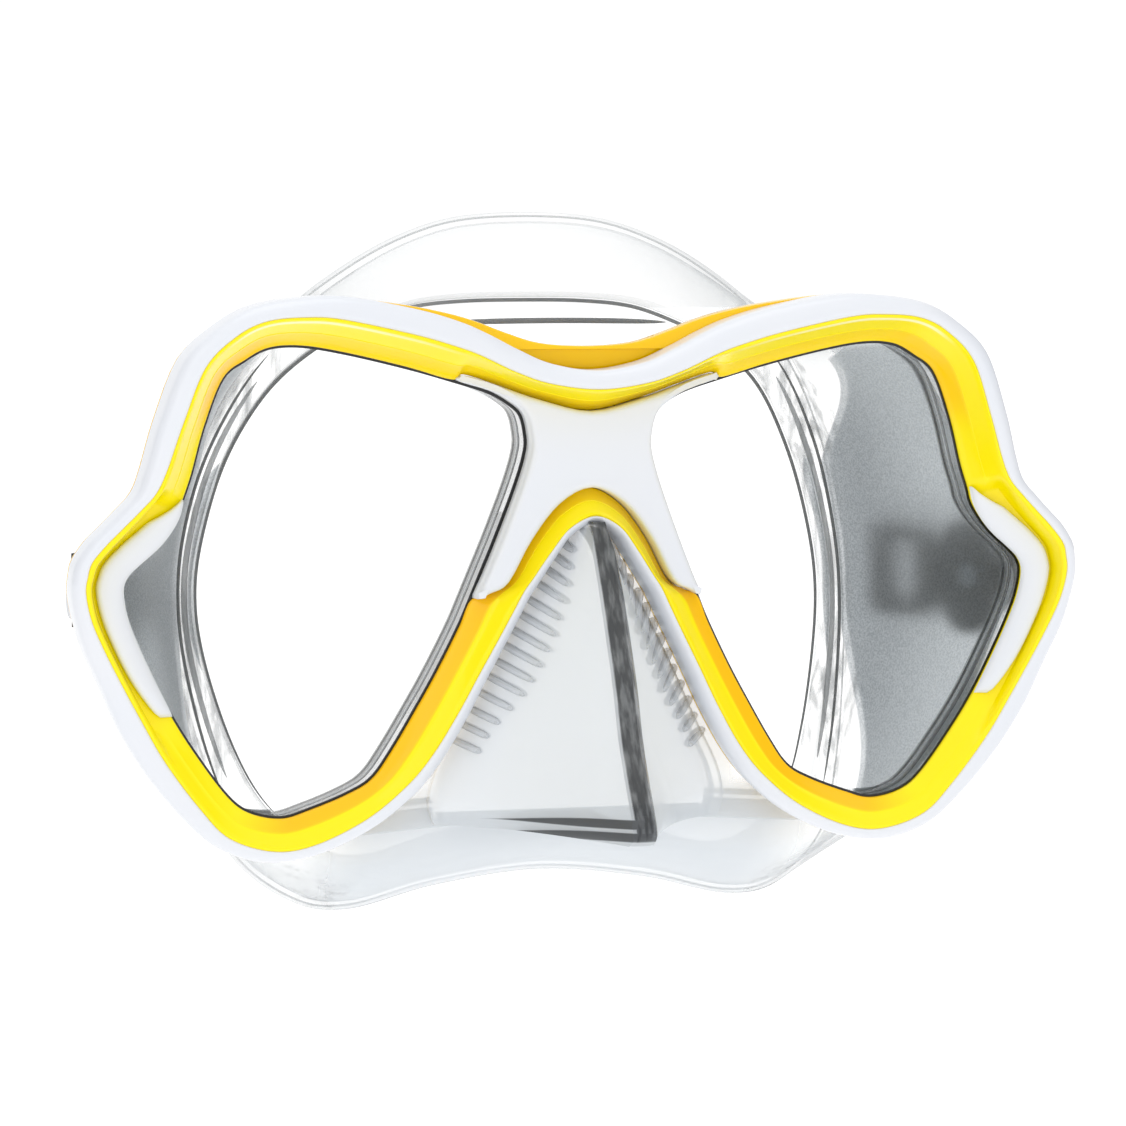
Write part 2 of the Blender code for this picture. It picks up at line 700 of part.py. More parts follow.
def make_lever(side):
    """The flap that frees the strap, on its barrel between the body's ears."""
    name = side_name(side)
    half_height = EAR_INNER - CLEARANCE
    spring_room = SPRING_LENGTH / 2 + CLEARANCE
    flap = [
        (LEVER_BACK, LEVER_OUT + LEVER_BARREL - LEVER_THICKNESS),
        (LEVER_BACK, LEVER_OUT + LEVER_BARREL),
        (LEVER_BACK + LEVER_LENGTH - 2.0, LEVER_OUT + LEVER_BARREL),
        (LEVER_BACK + LEVER_LENGTH, LEVER_OUT + LEVER_BARREL + 1.0),
        (LEVER_BACK + LEVER_LENGTH, LEVER_OUT + LEVER_BARREL + 1.0 - LEVER_THICKNESS),
        (LEVER_BACK + LEVER_LENGTH - 2.0, LEVER_OUT + LEVER_BARREL - LEVER_THICKNESS),
    ]
    sections = [[buckle_point(a, b, up, side) for a, b in flap] for up in (-half_height, half_height)]
    pivot = buckle_point(LEVER_BACK, LEVER_OUT, 0.0, side)
    lever = add_object("release_lever_" + name, skin(sections, False), "black_plastic", pivot)
    centre = (LEVER_BACK, LEVER_OUT)
    barrel = upright(LEVER_BARREL, centre, -half_height, half_height, side)
    boolean(lever, add_object("barrel_shape_" + name, barrel, "black_plastic"), "UNION")
    room = upright(LEVER_BARREL + CLEARANCE, centre, -spring_room, spring_room, side)
    boolean(lever, add_object("spring_room_" + name, room, "black_plastic"), "DIFFERENCE")
    bore = upright(AXLE_RADIUS + CLEARANCE, centre, -half_height - 1, half_height + 1, side)
    boolean(lever, add_object("barrel_bore_" + name, bore, "black_plastic"), "DIFFERENCE")


def make_buckle(side):
    name = side_name(side)
    seat, _, _ = buckle_frame()
    pivot = Vector((side * seat.x, seat.y, BUCKLE_HEIGHT))
    outline = rounded_box(PLATE_LENGTH / 2, PLATE_HEIGHT / 2, PLATE_LENGTH / 2 - CORNER_FLAT)
    hole = circle(SWIVEL_RADIUS + CLEARANCE)
    shape = pierced(outline, [hole], PLATE_BASE, PLATE_TOP, side)
    add_object("anchor_plate_" + name, shape, "black_plastic")
    make_buckle_body(side)
    heads = ((SWIVEL_RADIUS, SWIVEL_BASE), (SWIVEL_RADIUS, BODY_TOP + CLEARANCE))
    top = BODY_TOP + CLEARANCE
    heads += ((SWIVEL_HEAD_RADIUS, top), (SWIVEL_HEAD_RADIUS, top + SWIVEL_HEAD_HEIGHT))
    sections = [[buckle_point(a, out, c, side) for a, c in circle(r)] for r, out in heads]
    add_object("swivel_pin_" + name, skin(sections, False), "steel", pivot)
    roller_end = SLOT_HALF_HEIGHT - CLEARANCE
    centre = (ROLLER_BACK, ROLLER_OUT)
    axis = buckle_point(*centre, 0.0, side)
    roller = upright(ROLLER_RADIUS, centre, -roller_end, roller_end, side, ROLLER_BORE)
    add_object("strap_roller_" + name, roller, "black_plastic", axis)
    axle = upright(AXLE_RADIUS, centre, -FORK_HALF_HEIGHT + 0.8, FORK_HALF_HEIGHT - 0.8, side)
    add_object("roller_axle_" + name, axle, "steel", axis)
    make_lever(side)
    centre = (LEVER_BACK, LEVER_OUT)
    hinge = buckle_point(*centre, 0.0, side)
    pin = upright(AXLE_RADIUS, centre, -ARM_HALF_HEIGHT + 0.1, ARM_HALF_HEIGHT - 0.1, side)
    add_object("lever_pin_" + name, pin, "steel", hinge)
    half = SPRING_LENGTH / 2
    spring = upright(SPRING_RADIUS, centre, -half, half, side, AXLE_RADIUS + 0.15)
    add_object("lever_spring_" + name, spring, "steel", hinge)


def clear_scene():
    for found in list(bpy.data.objects):
        bpy.data.objects.remove(found, do_unlink=True)


def main():
    clear_scene()
    datum = bpy.data.objects.new("datum", None)
    datum.location = -Vector((0.0, bridge_front(0, 0), BRIDGE_PAD_Z * TALL)) * MM
    bpy.context.scene.collection.objects.link(datum)
    make_lenses()
    make_main_frame()
    make_front_bezel()
    make_outer_trim()
    make_bridge_cover()
    make_temple_covers()
    make_skirt()
    for side in (1, -1):
        make_buckle(side)


if __name__ == "__main__":
    main()
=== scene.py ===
"""Looks of a twin-lens snorkel mask: clear silicone skirt, yellow bezel, white trim, buckles.

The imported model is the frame. Outlines are drawn in millimetres about a datum in the middle of the
nose arch, as (x, z) or (x, y, z) with x to the viewer's right, y back to the wearer and z up.
"""

import math

import bmesh
import bpy
from bpy.props import FloatProperty, FloatVectorProperty, IntProperty, PointerProperty
from mathutils import Matrix, Vector
from mathutils.geometry import tessellate_polygon


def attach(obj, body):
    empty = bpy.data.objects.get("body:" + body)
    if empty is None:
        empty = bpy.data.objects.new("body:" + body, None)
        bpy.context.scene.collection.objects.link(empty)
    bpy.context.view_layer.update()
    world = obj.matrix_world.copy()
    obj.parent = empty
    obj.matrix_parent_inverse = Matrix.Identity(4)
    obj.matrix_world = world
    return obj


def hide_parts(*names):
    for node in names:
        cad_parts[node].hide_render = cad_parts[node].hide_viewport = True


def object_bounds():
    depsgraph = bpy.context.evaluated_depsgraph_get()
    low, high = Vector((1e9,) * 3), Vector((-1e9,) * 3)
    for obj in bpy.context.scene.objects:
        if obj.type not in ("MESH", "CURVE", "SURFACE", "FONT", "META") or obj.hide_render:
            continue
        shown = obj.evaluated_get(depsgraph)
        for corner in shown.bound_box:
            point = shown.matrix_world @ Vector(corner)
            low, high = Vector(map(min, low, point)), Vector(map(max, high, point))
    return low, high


bl_info = {
    "name": "Snorkel Mask",
    "version": (1, 0, 0),
    "blender": (4, 5, 0),
    "location": "View3D > Sidebar > Snorkel Mask",
    "description": "Builds the visible surfaces of a twin-lens snorkel mask",
    "category": "Object",
}

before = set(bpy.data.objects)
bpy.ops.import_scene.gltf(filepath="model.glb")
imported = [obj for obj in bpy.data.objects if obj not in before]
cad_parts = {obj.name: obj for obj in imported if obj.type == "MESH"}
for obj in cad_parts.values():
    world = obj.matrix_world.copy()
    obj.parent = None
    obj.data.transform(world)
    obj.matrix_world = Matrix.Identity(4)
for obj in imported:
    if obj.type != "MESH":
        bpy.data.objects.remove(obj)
CAD_BOUNDS = [list(corner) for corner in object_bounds()]

MM = 0.001
DATUM = Vector((0.0, -3.9, -20.0))
SIDES = (("right", 1), ("left", -1))

# The lens plane: a little swept back to the sides and leaning back at the top.
LENS_FRONT = 9.05
LENS_SWEEP = 0.015
LENS_LEAN = -0.045
LENS_THICKNESS = 3.4
LENS_BORDER = 2.5
CLEARANCE = 0.3
NECK_INSET = 3.2
NECK_DEPTH = 3.0
CREST_LOW = 2.8
CREST_HIGH = 9.0
RIM_LOW = -49.4
RIM_HIGH = 44.4

# The nose pocket's wall, and how far its solid and its hollow reach behind the lens plane.
NOSE_WALL = 1.6
NOSE_BACK = 4.6
NOSE_HOLLOW_BACK = 8.0

# The bridge cover's face, and the frame's band that stands above the trim at the brow:
# its height at the middle and the rows of RIM over which it runs out.
COVER_FACE = 3.9
COVER_SWEEP = 0.035
COVER_FLAT = 8.0
BROW_BAND = 4.4
BROW_BAND_ROWS = 6.5

# The temple cover lies on the bezel where it is cut down to SHELF, between its lip and
# SHELF_SHARE of the way to its crest.
BEZEL_LIP = 1.2
SHELF = 2.2
SHELF_SHARE = 0.76

# The frosted walls, between these widths, depths and heights. Their rear edge lies at
# FROST_BACK, less the cuts at the brow and at the cheek, each coming in over its ramp of heights.
FROST_WIDE = 51.6
FROST_FRONT = 14.5
FROST_BACK = 52.0
FROST_LOW = -48.0
FROST_HIGH = 36.0
BROW_RAMP = (10.0, 34.0)
BROW_CUT = 19.0
CHEEK_RAMP = (-8.0, -50.0)
CHEEK_CUT = 18.0

# Pale cream of the highlight painted as a line under the bezel's crest.
PAINTED_HIGHLIGHT_COLOUR = (1.0, 0.97, 0.62)
# Near black of the painted shade that the silicone's tone blends towards.
PAINTED_SHADE_COLOUR = (0.012, 0.013, 0.015)
SPECK_COLOURS = ((0.05, 0.06, 0.07), (0.8, 0.82, 0.84))

# Right half of the rim, from the middle of the brow round the temple to the nose arch:
# (x, z) of the bezel's inner edge, of its crest, and of the outer edge of the white trim.
RIM = [
    ((0.0, 25.2), (0.0, 28.8), (0.0, 32.0)),
    ((9.0, 27.2), (8.4, 29.8), (8.0, 33.2)),
    ((15.5, 29.4), (14.5, 31.8), (13.8, 35.6)),
    ((21.5, 31.3), (20.4, 34.5), (19.0, 38.2)),
    ((23.6, 30.5), (24.5, 36.0), (24.0, 40.3)),
    ((31.4, 32.7), (31.9, 38.1), (31.5, 42.4)),
    ((41.6, 35.1), (43.8, 40.6), (42.8, 44.4)),
    ((49.0, 36.3), (50.0, 41.0), (51.0, 44.2)),
    ((54.5, 36.0), (56.5, 40.4), (58.0, 42.9)),
    ((58.5, 34.0), (61.5, 38.0), (63.5, 40.0)),
    ((62.2, 31.0), (66.5, 33.0), (69.5, 34.5)),
    ((65.3, 23.2), (70.0, 24.0), (73.5, 24.5)),
    ((67.4, 15.4), (72.5, 16.5), (75.8, 16.5)),
    ((68.8, 11.2), (74.3, 12.6), (77.3, 12.6)),
    ((69.6, 8.5), (77.0, 9.6), (80.0, 9.6)),
    ((71.4, 5.6), (79.8, 6.8), (82.6, 7.0)),
    ((73.5, 3.2), (82.3, 4.3), (85.0, 4.6)),
    ((76.6, 0.5), (84.6, 1.5), (87.0, 1.6)),
    ((78.3, -1.3), (85.3, -0.8), (87.6, -0.8)),
    ((79.0, -3.5), (85.6, -3.5), (87.8, -3.8)),
    ((78.4, -7.4), (84.7, -7.8), (87.0, -8.2)),
    ((76.8, -11.8), (82.8, -12.3), (85.5, -13.2)),
    ((74.0, -17.9), (79.9, -18.0), (82.6, -19.5)),
    ((70.6, -24.5), (76.3, -24.6), (79.2, -27.0)),
    ((66.5, -31.0), (72.0, -32.0), (74.5, -34.5)),
    ((61.3, -38.0), (66.0, -40.0), (68.2, -42.0)),
    ((57.5, -41.0), (61.0, -45.0), (62.3, -47.0)),
    ((52.0, -42.2), (53.5, -47.4), (54.5, -49.4)),
    ((47.0, -40.9), (46.5, -46.5), (46.0, -48.4)),
    ((40.5, -38.4), (38.0, -42.5), (37.0, -44.5)),
    ((36.5, -36.0), (31.5, -37.3), (30.0, -39.2)),
    ((33.2, -31.5), (27.2, -32.3), (25.4, -33.8)),
    ((29.0, -24.5), (22.9, -25.3), (21.1, -26.6)),
    ((25.5, -18.3), (19.3, -18.5), (17.6, -19.6)),
    ((21.8, -11.0), (15.8, -12.0), (14.2, -13.0)),
    ((19.9, -6.6), (13.6, -7.8), (12.0, -8.7)),
    ((17.2, -5.2), (12.0, -4.7), (10.5, -5.7)),
    ((14.2, -3.4), (10.4, -2.4), (9.0, -3.4)),
    ((10.2, 3.8), (7.4, 2.0), (6.3, 0.8)),
    ((5.5, 9.6), (4.3, 5.8), (3.7, 4.4)),
    ((0.0, 12.2), (0.0, 7.7), (0.0, 6.2)),
]
INNER, CREST, OUTER = range(3)
LENS_TOP_CORNER = 4
LENS_LOW_CORNER = 35
NOSE_SIDE = [
    (17.0, 28.4),
    (13.2, 26.2),
    (11.5, 24.5),
    (10.7, 21.7),
    (10.6, 18.5),
    (12.2, 12.8),
    (15.4, 4.3),
    (18.0, -2.0),
]
ACCENT_START = 13
ACCENT_SHARES = [0.16, 0.47, 0.6, 0.66, 0.67, 0.67, 0.67, 0.66, 0.67, 0.66, 0.5]

# Right half of the skirt's chamber, from the middle of the forehead round to under the nose:
# (x, z) of the front edge, then (x, y, z) half way back, at the rear edge and at the face opening.
CHAMBER = [
    ((0, 28), (0, 26, 42), (0, 45, 58.3), (0, 47, 43.5)),
    ((12, 31), (12.3, 26, 42.8), (12.5, 45, 57.5), (11, 47, 43.3)),
    ((22, 36), (22.5, 26, 42.5), (22.5, 45, 54.5), (20, 47, 42.3)),
    ((34, 40), (33, 27, 41), (32, 45, 49.5), (28, 47, 39.6)),
    ((46, 42), (43, 27, 39.5), (42, 46, 42), (36.5, 48, 35.5)),
    ((60, 39.5), (55, 27, 34), (51, 48, 31), (45, 50, 28)),
    ((71, 24), (64, 27, 23), (57.5, 51, 18), (51.5, 53, 17)),
    ((76, 9.5), (68, 26, 10), (61, 53, 6), (55.5, 54, 5)),
    ((84, -3.5), (73.5, 26, -2), (62.5, 53, -6), (57.5, 54, -7)),
    ((81, -15), (72, 26, -15), (62, 51, -20), (56.5, 52, -19)),
    ((72.5, -32.5), (67.5, 24, -33), (59, 46, -38), (52.5, 47, -34)),
    ((61, -44.5), (58.5, 23, -46), (54, 41, -52), (47.5, 42, -44)),
    ((49, -46.5), (47, 21, -51), (44, 38, -60), (39.5, 39.5, -50.5)),
    ((35, -46), (35, 20, -53), (34, 37.5, -61.5), (31, 39, -52.5)),
    ((20, -45), (20, 20, -52), (19, 37.5, -58), (17.5, 39, -49)),
    ((0, -45), (0, 20, -50), (0, 38, -56), (0, 39.5, -47)),
]
# Nose pocket from the arch down: height, half width, the ridge's y and how full the flank is.
NOSE = [
    (6.8, 2.6, 0.4, 1.15),
    (0.0, 5.8, -3.4, 1.1),
    (-6.0, 9.8, -6.8, 1.0),
    (-13.0, 13.6, -10.4, 1.0),
    (-20.0, 17.2, -13.8, 1.1),
    (-28.0, 21.0, -16.8, 1.25),
    (-35.0, 24.6, -20.8, 1.5),
    (-40.0, 26.0, -24.0, 1.7),
    (-43.0, 25.6, -25.2, 1.8),
    (-44.6, 25.0, -23.0, 1.8),
]


def lens_plane(x, z):
    """The y of the lenses' front faces."""
    return LENS_FRONT + LENS_SWEEP * abs(x) + LENS_LEAN * z


def crest_rise(z):
    """How far the crest stands in front of the lenses, more at the brow than at the cheek."""
    share = min(max((z - RIM_LOW) / (RIM_HIGH - RIM_LOW), 0.0), 1.0)
    return CREST_LOW + (CREST_HIGH - CREST_LOW) * share


def mix(a, b, share):
    return a + (b - a) * share


def ramp(value, low, high):
    """0 below low, 1 above high and a smooth rise between; low may be the larger."""
    t = min(max((value - low) / (high - low), 0.0), 1.0)
    return t * t * (3 - 2 * t)


def curve_point(p0, p1, p2, p3, t):
    """A point of the Catmull-Rom curve from p1 to p2."""
    a = 2 * p1 + (p2 - p0) * t
    b = (2 * p0 - 5 * p1 + 4 * p2 - p3) * t * t
    c = (3 * p1 - p0 - 3 * p2 + p3) * t * t * t
    return (a + b + c) / 2


def smooth_closed(points, steps):
    """Catmull-Rom curve through a closed list of points, with steps points for each one."""
    count = len(points)
    curve = []
    for i in range(count):
        four = [Vector(points[(i + k) % count]) for k in (-1, 0, 1, 2)]
        curve += [curve_point(*four, step / steps) for step in range(steps)]
    return curve


def smooth_open(rows, steps):
    """Rows of points with steps rows put in for each gap between two given rows."""
    made = []
    for i in range(len(rows) - 1):
        before = rows[max(i - 1, 0)]
        after = rows[min(i + 2, len(rows) - 1)]
        for step in range(steps):
            four = zip(before, rows[i], rows[i + 1], after)
            made.append([curve_point(*points, step / steps) for points in four])
    return [*made, list(rows[-1])]


def mirrored(half):
    """The whole closed loop from its right half, whose first and last points lie on x = 0."""
    other = [(-p[0], *p[1:]) for p in reversed(half[1:-1])]
    return [tuple(p) for p in half] + other


def offset_loop(loop, distance):
    """A closed (x, z) loop moved outwards by distance."""
    count = len(loop)
    area = sum(loop[i - 1][0] * loop[i][1] - loop[i][0] * loop[i - 1][1] for i in range(count))
    turn = 1.0 if area > 0 else -1.0
    moved = []
    for i in range(count):
        along = (Vector(loop[(i + 1) % count]) - Vector(loop[i - 1])).normalized()
        moved.append(Vector(loop[i]) + Vector((along.y, -along.x)) * turn * distance)
    return moved


def rim_loop(which, steps):
    return smooth_closed(mirrored([row[which] for row in RIM]), steps)


def rim_places(steps):
    """For each point of a rim loop, its place in RIM as a number between 0 and the last row."""
    last = len(RIM) - 1
    places = [i / steps for i in range(2 * last * steps)]
    return [place if place <= last else 2 * last - place for place in places]


def lens_loop(steps):
    """The right lens opening."""
    edge = [row[INNER] for row in RIM[LENS_TOP_CORNER : LENS_LOW_CORNER + 1]]
    return smooth_closed(edge + NOSE_SIDE[::-1], steps)


def flipped(loop):
    return [Vector((-p[0], *p[1:])) for p in loop]


def on_rim(point, extra):
    return (point[0], lens_plane(point[0], point[1]) + extra, point[1])


def finish_mesh(name, bm, material, angle=40.0, origin=DATUM):
    """A shaded object from a mesh drawn in millimetres about the origin."""
    for vertex in bm.verts:
        vertex.co = (vertex.co + origin) * MM
    bmesh.ops.recalc_face_normals(bm, faces=bm.faces)
    mesh = bpy.data.meshes.new(name)
    bm.to_mesh(mesh)
    bm.free()
    mesh.shade_smooth()
    mesh.set_sharp_from_angle(angle=math.radians(angle))
    mesh.materials.append(material)
    made = bpy.data.objects.new(name, mesh)
    bpy.context.scene.collection.objects.link(made)
    return made


def skin(sections, closed, caps=True, values=None):
    """A mesh through sections with equal counts of points; values gives each point's tint."""
    bm = bmesh.new()
    attribute = bm.verts.layers.float.new("tint") if values else None
    rows = [[bm.verts.new(point) for point in section] for section in sections]
    if values:
        for row, row_values in zip(rows, values):
            for vertex, value in zip(row, row_values):
                vertex[attribute] = value
    pairs = list(zip(rows, rows[1:]))
    if closed:
        pairs.append((rows[-1], rows[0]))
    count = len(rows[0])
    for row, following in pairs:
        for i in range(count):
            j = (i + 1) % count
            bm.faces.new((row[i], row[j], following[j], following[i]))
    if not closed and caps:
        bm.faces.new(rows[0])
        bm.faces.new(rows[-1][::-1])
    return bm


def plate(loops, levels):
    """A solid sheet. Each level is (inset, height function); loops are its edge and its holes."""
    bm = bmesh.new()
    stacks = []
    for inset, height in levels:
        moved = [offset_loop(loop, inset if k else -inset) for k, loop in enumerate(loops)]
        rows = [[bm.verts.new((p[0], height(p[0], p[1]), p[1])) for p in loop] for loop in moved]
        stacks.append((rows, moved))
    for rows, moved in (stacks[0], stacks[-1]):
        every = [vertex for row in rows for vertex in row]
        flat = [[Vector((p[0], p[1], 0.0)) for p in loop] for loop in moved]
        for triangle in tessellate_polygon(flat):
            bm.faces.new([every[i] for i in triangle])
    for (rows, _), (following, _) in zip(stacks, stacks[1:]):
        for near, far in zip(rows, following):
            for i in range(len(near)):
                j = (i + 1) % len(near)
                bm.faces.new((near[i], near[j], far[j], far[i]))
    return bm


def at_lens(extra):
    return lambda x, z: lens_plane(x, z) + extra


def subtract(target, cutter, operation="DIFFERENCE"):
    """Joins or cuts one mesh with another and leaves a plain mesh."""
    modifier = target.modifiers.new("cut", "BOOLEAN")
    modifier.operation = operation
    modifier.object = cutter
    apply_modifiers(target)
    bpy.data.objects.remove(cutter, do_unlink=True)


def apply_modifiers(target):
    """Replaces an object's mesh by what its modifiers make of it."""
    graph = bpy.context.evaluated_depsgraph_get()
    made = bpy.data.meshes.new_from_object(target.evaluated_get(graph))
    target.modifiers.clear()
    target.data = made


# ---------------------------------------------------------------- materials


class Shader:
    """A node tree being written, with short calls to add and join its nodes."""

    def __init__(self, tree):
        self.tree = tree

    def node(self, kind, **settings):
        made = self.tree.nodes.new(kind)
        for key, value in settings.items():
            setattr(made, key, value)
        return made

    def join(self, source, target):
        self.tree.links.new(source, target)

    def maths(self, operation, first, second=0.0, clamp=False):
        made = self.node("ShaderNodeMath", operation=operation, use_clamp=clamp)
        for socket, value in zip(made.inputs, (first, second)):
            if isinstance(value, (int, float)):
                socket.default_value = value
            else:
                self.join(value, socket)
        return made.outputs[0]

    def blend(self, factor, first, second):
        """A colour between two colours."""
        made = self.node("ShaderNodeMix", data_type="RGBA", clamp_factor=True)
        sockets = {"Factor": factor, "A": first, "B": second}
        wanted = {"Factor": 0, "A": 6, "B": 7}
        for key, value in sockets.items():
            socket = made.inputs[wanted[key]]
            if isinstance(value, (int, float)):
                socket.default_value = value
            elif isinstance(value, (tuple, list)):
                socket.default_value = (*value[:3], 1.0)
            else:
                self.join(value, socket)
        return made.outputs[2]

    def cloud(self, vector, scale, detail):
        """A noise between 0 and 1 over the given coordinates."""
        made = self.node("ShaderNodeTexNoise")
        made.inputs["Scale"].default_value = scale
        made.inputs["Detail"].default_value = detail
        self.join(vector, made.inputs["Vector"])
        return made.outputs["Fac"]

    def object_place(self):
        return self.node("ShaderNodeTexCoord").outputs["Object"]

    def stretched(self, vector, scale):
        """Coordinates multiplied by a number for each axis."""
        made = self.node("ShaderNodeVectorMath", operation="MULTIPLY")
        made.inputs[1].default_value = scale
        self.join(vector, made.inputs[0])
        return made.outputs[0]

    def attribute(self, name):
        return self.node("ShaderNodeAttribute", attribute_name=name).outputs["Fac"]

    def turned_away(self, power):
        """0 on a surface that faces the viewer, rising to 1 where it is seen edge on."""
        facing = self.node("ShaderNodeLayerWeight")
        facing.inputs["Blend"].default_value = 0.5
        return self.maths("POWER", facing.outputs["Facing"], power)

    def fade(self, value, start, end, low=0.0, high=1.0):
        """low where value is start, high where it is end, and a smooth change between."""
        if start > end:
            start, end, low, high = end, start, high, low
        made = self.node("ShaderNodeMapRange", interpolation_type="SMOOTHSTEP")
        limits = {"From Min": start, "From Max": end, "To Min": low, "To Max": high}
        for key, number in limits.items():
            made.inputs[key].default_value = number
        self.join(value, made.inputs["Value"])
        return made.outputs["Result"]


def new_material(name, **values):
    """A material with its Principled shader's sockets set, and a Shader to add nodes with."""
    made = bpy.data.materials.new(name)
    made.use_nodes = True
    shader = made.node_tree.nodes["Principled BSDF"]
    for key, value in values.items():
        socket = shader.inputs[key.replace("_", " ").title().replace("Ior", "IOR")]
        socket.default_value = (*value, 1.0) if isinstance(value, tuple) else value
    return made, Shader(made.node_tree), shader


def grain_group():
    """Shared surface grain: a fine noise in object space, as a value and as a bumped normal."""
    found = bpy.data.node_groups.get("Fine Grain")
    if found:
        return found
    group = bpy.data.node_groups.new("Fine Grain", "ShaderNodeTree")
    for name, default in (("Scale", 900.0), ("Strength", 0.2), ("Depth", 0.0001)):
        socket = group.interface.new_socket(name, in_out="INPUT", socket_type="NodeSocketFloat")
        socket.default_value = default
    group.interface.new_socket("Value", in_out="OUTPUT", socket_type="NodeSocketFloat")
    group.interface.new_socket("Normal", in_out="OUTPUT", socket_type="NodeSocketVector")
    shader = Shader(group)
    inputs = shader.node("NodeGroupInput")
    outputs = shader.node("NodeGroupOutput")
    cloud = shader.node("ShaderNodeTexNoise")
    cloud.inputs["Detail"].default_value = 3.0
    bump = shader.node("ShaderNodeBump")
    shader.join(shader.object_place(), cloud.inputs["Vector"])
    shader.join(inputs.outputs["Scale"], cloud.inputs["Scale"])
    shader.join(cloud.outputs["Fac"], bump.inputs["Height"])
    shader.join(inputs.outputs["Strength"], bump.inputs["Strength"])
    shader.join(inputs.outputs["Depth"], bump.inputs["Distance"])
    shader.join(cloud.outputs["Fac"], outputs.inputs["Value"])
    shader.join(bump.outputs["Normal"], outputs.inputs["Normal"])
    return group


def add_grain(shader, principled, scale, strength, depth):
    """Places the shared grain in a material; its value output comes back for further use."""
    grain = shader.node("ShaderNodeGroup", node_tree=grain_group())
    grain.inputs["Scale"].default_value = scale
    grain.inputs["Strength"].default_value = strength
    grain.inputs["Depth"].default_value = depth
    shader.join(grain.outputs["Normal"], principled.inputs["Normal"])
    return grain.outputs["Value"]


def yellow_material(settings):
    """Glossy yellow plastic, deeper and more amber where the moulding is thick, with shade painted
    in amber on its recessed facets and a painted highlight under the crest.
    """
    finish = {"roughness": 0.2, "coat_weight": 0.25, "coat_roughness": 0.06}
    made, shader, principled = new_material("yellow plastic", specular_ior_level=0.25, **finish)
    tint = shader.attribute("tint")
    cloud = shader.cloud(shader.object_place(), 60.0, 2.0)
    uneven = shader.maths("MULTIPLY", shader.maths("SUBTRACT", cloud, 0.5), 0.25)
    amount = shader.maths("ADD", tint, uneven, clamp=True)
    colour = shader.blend(amount, tuple(settings.yellow), tuple(settings.amber))
    # A negative tint paints a pale cream highlight under the crest.
    painted_highlight = shader.maths("MULTIPLY", tint, -0.8, clamp=True)
    colour = shader.blend(painted_highlight, colour, PAINTED_HIGHLIGHT_COLOUR)
    shader.join(colour, principled.inputs["Base Color"])
    return made


def white_material(settings):
    """Pearl white plastic with a faint cool cloudiness."""
    finish = {"roughness": 0.3, "coat_weight": 0.35, "coat_roughness": 0.12}
    made, shader, principled = new_material("pearl white plastic", ior=1.5, **finish)
    cloud = shader.cloud(shader.object_place(), 45.0, 3.0)
    cool = tuple(channel * share for channel, share in zip(settings.white, (0.93, 0.96, 1.0)))
    colour = shader.blend(cloud, tuple(settings.white), cool)
    shader.join(colour, principled.inputs["Base Color"])
    return made


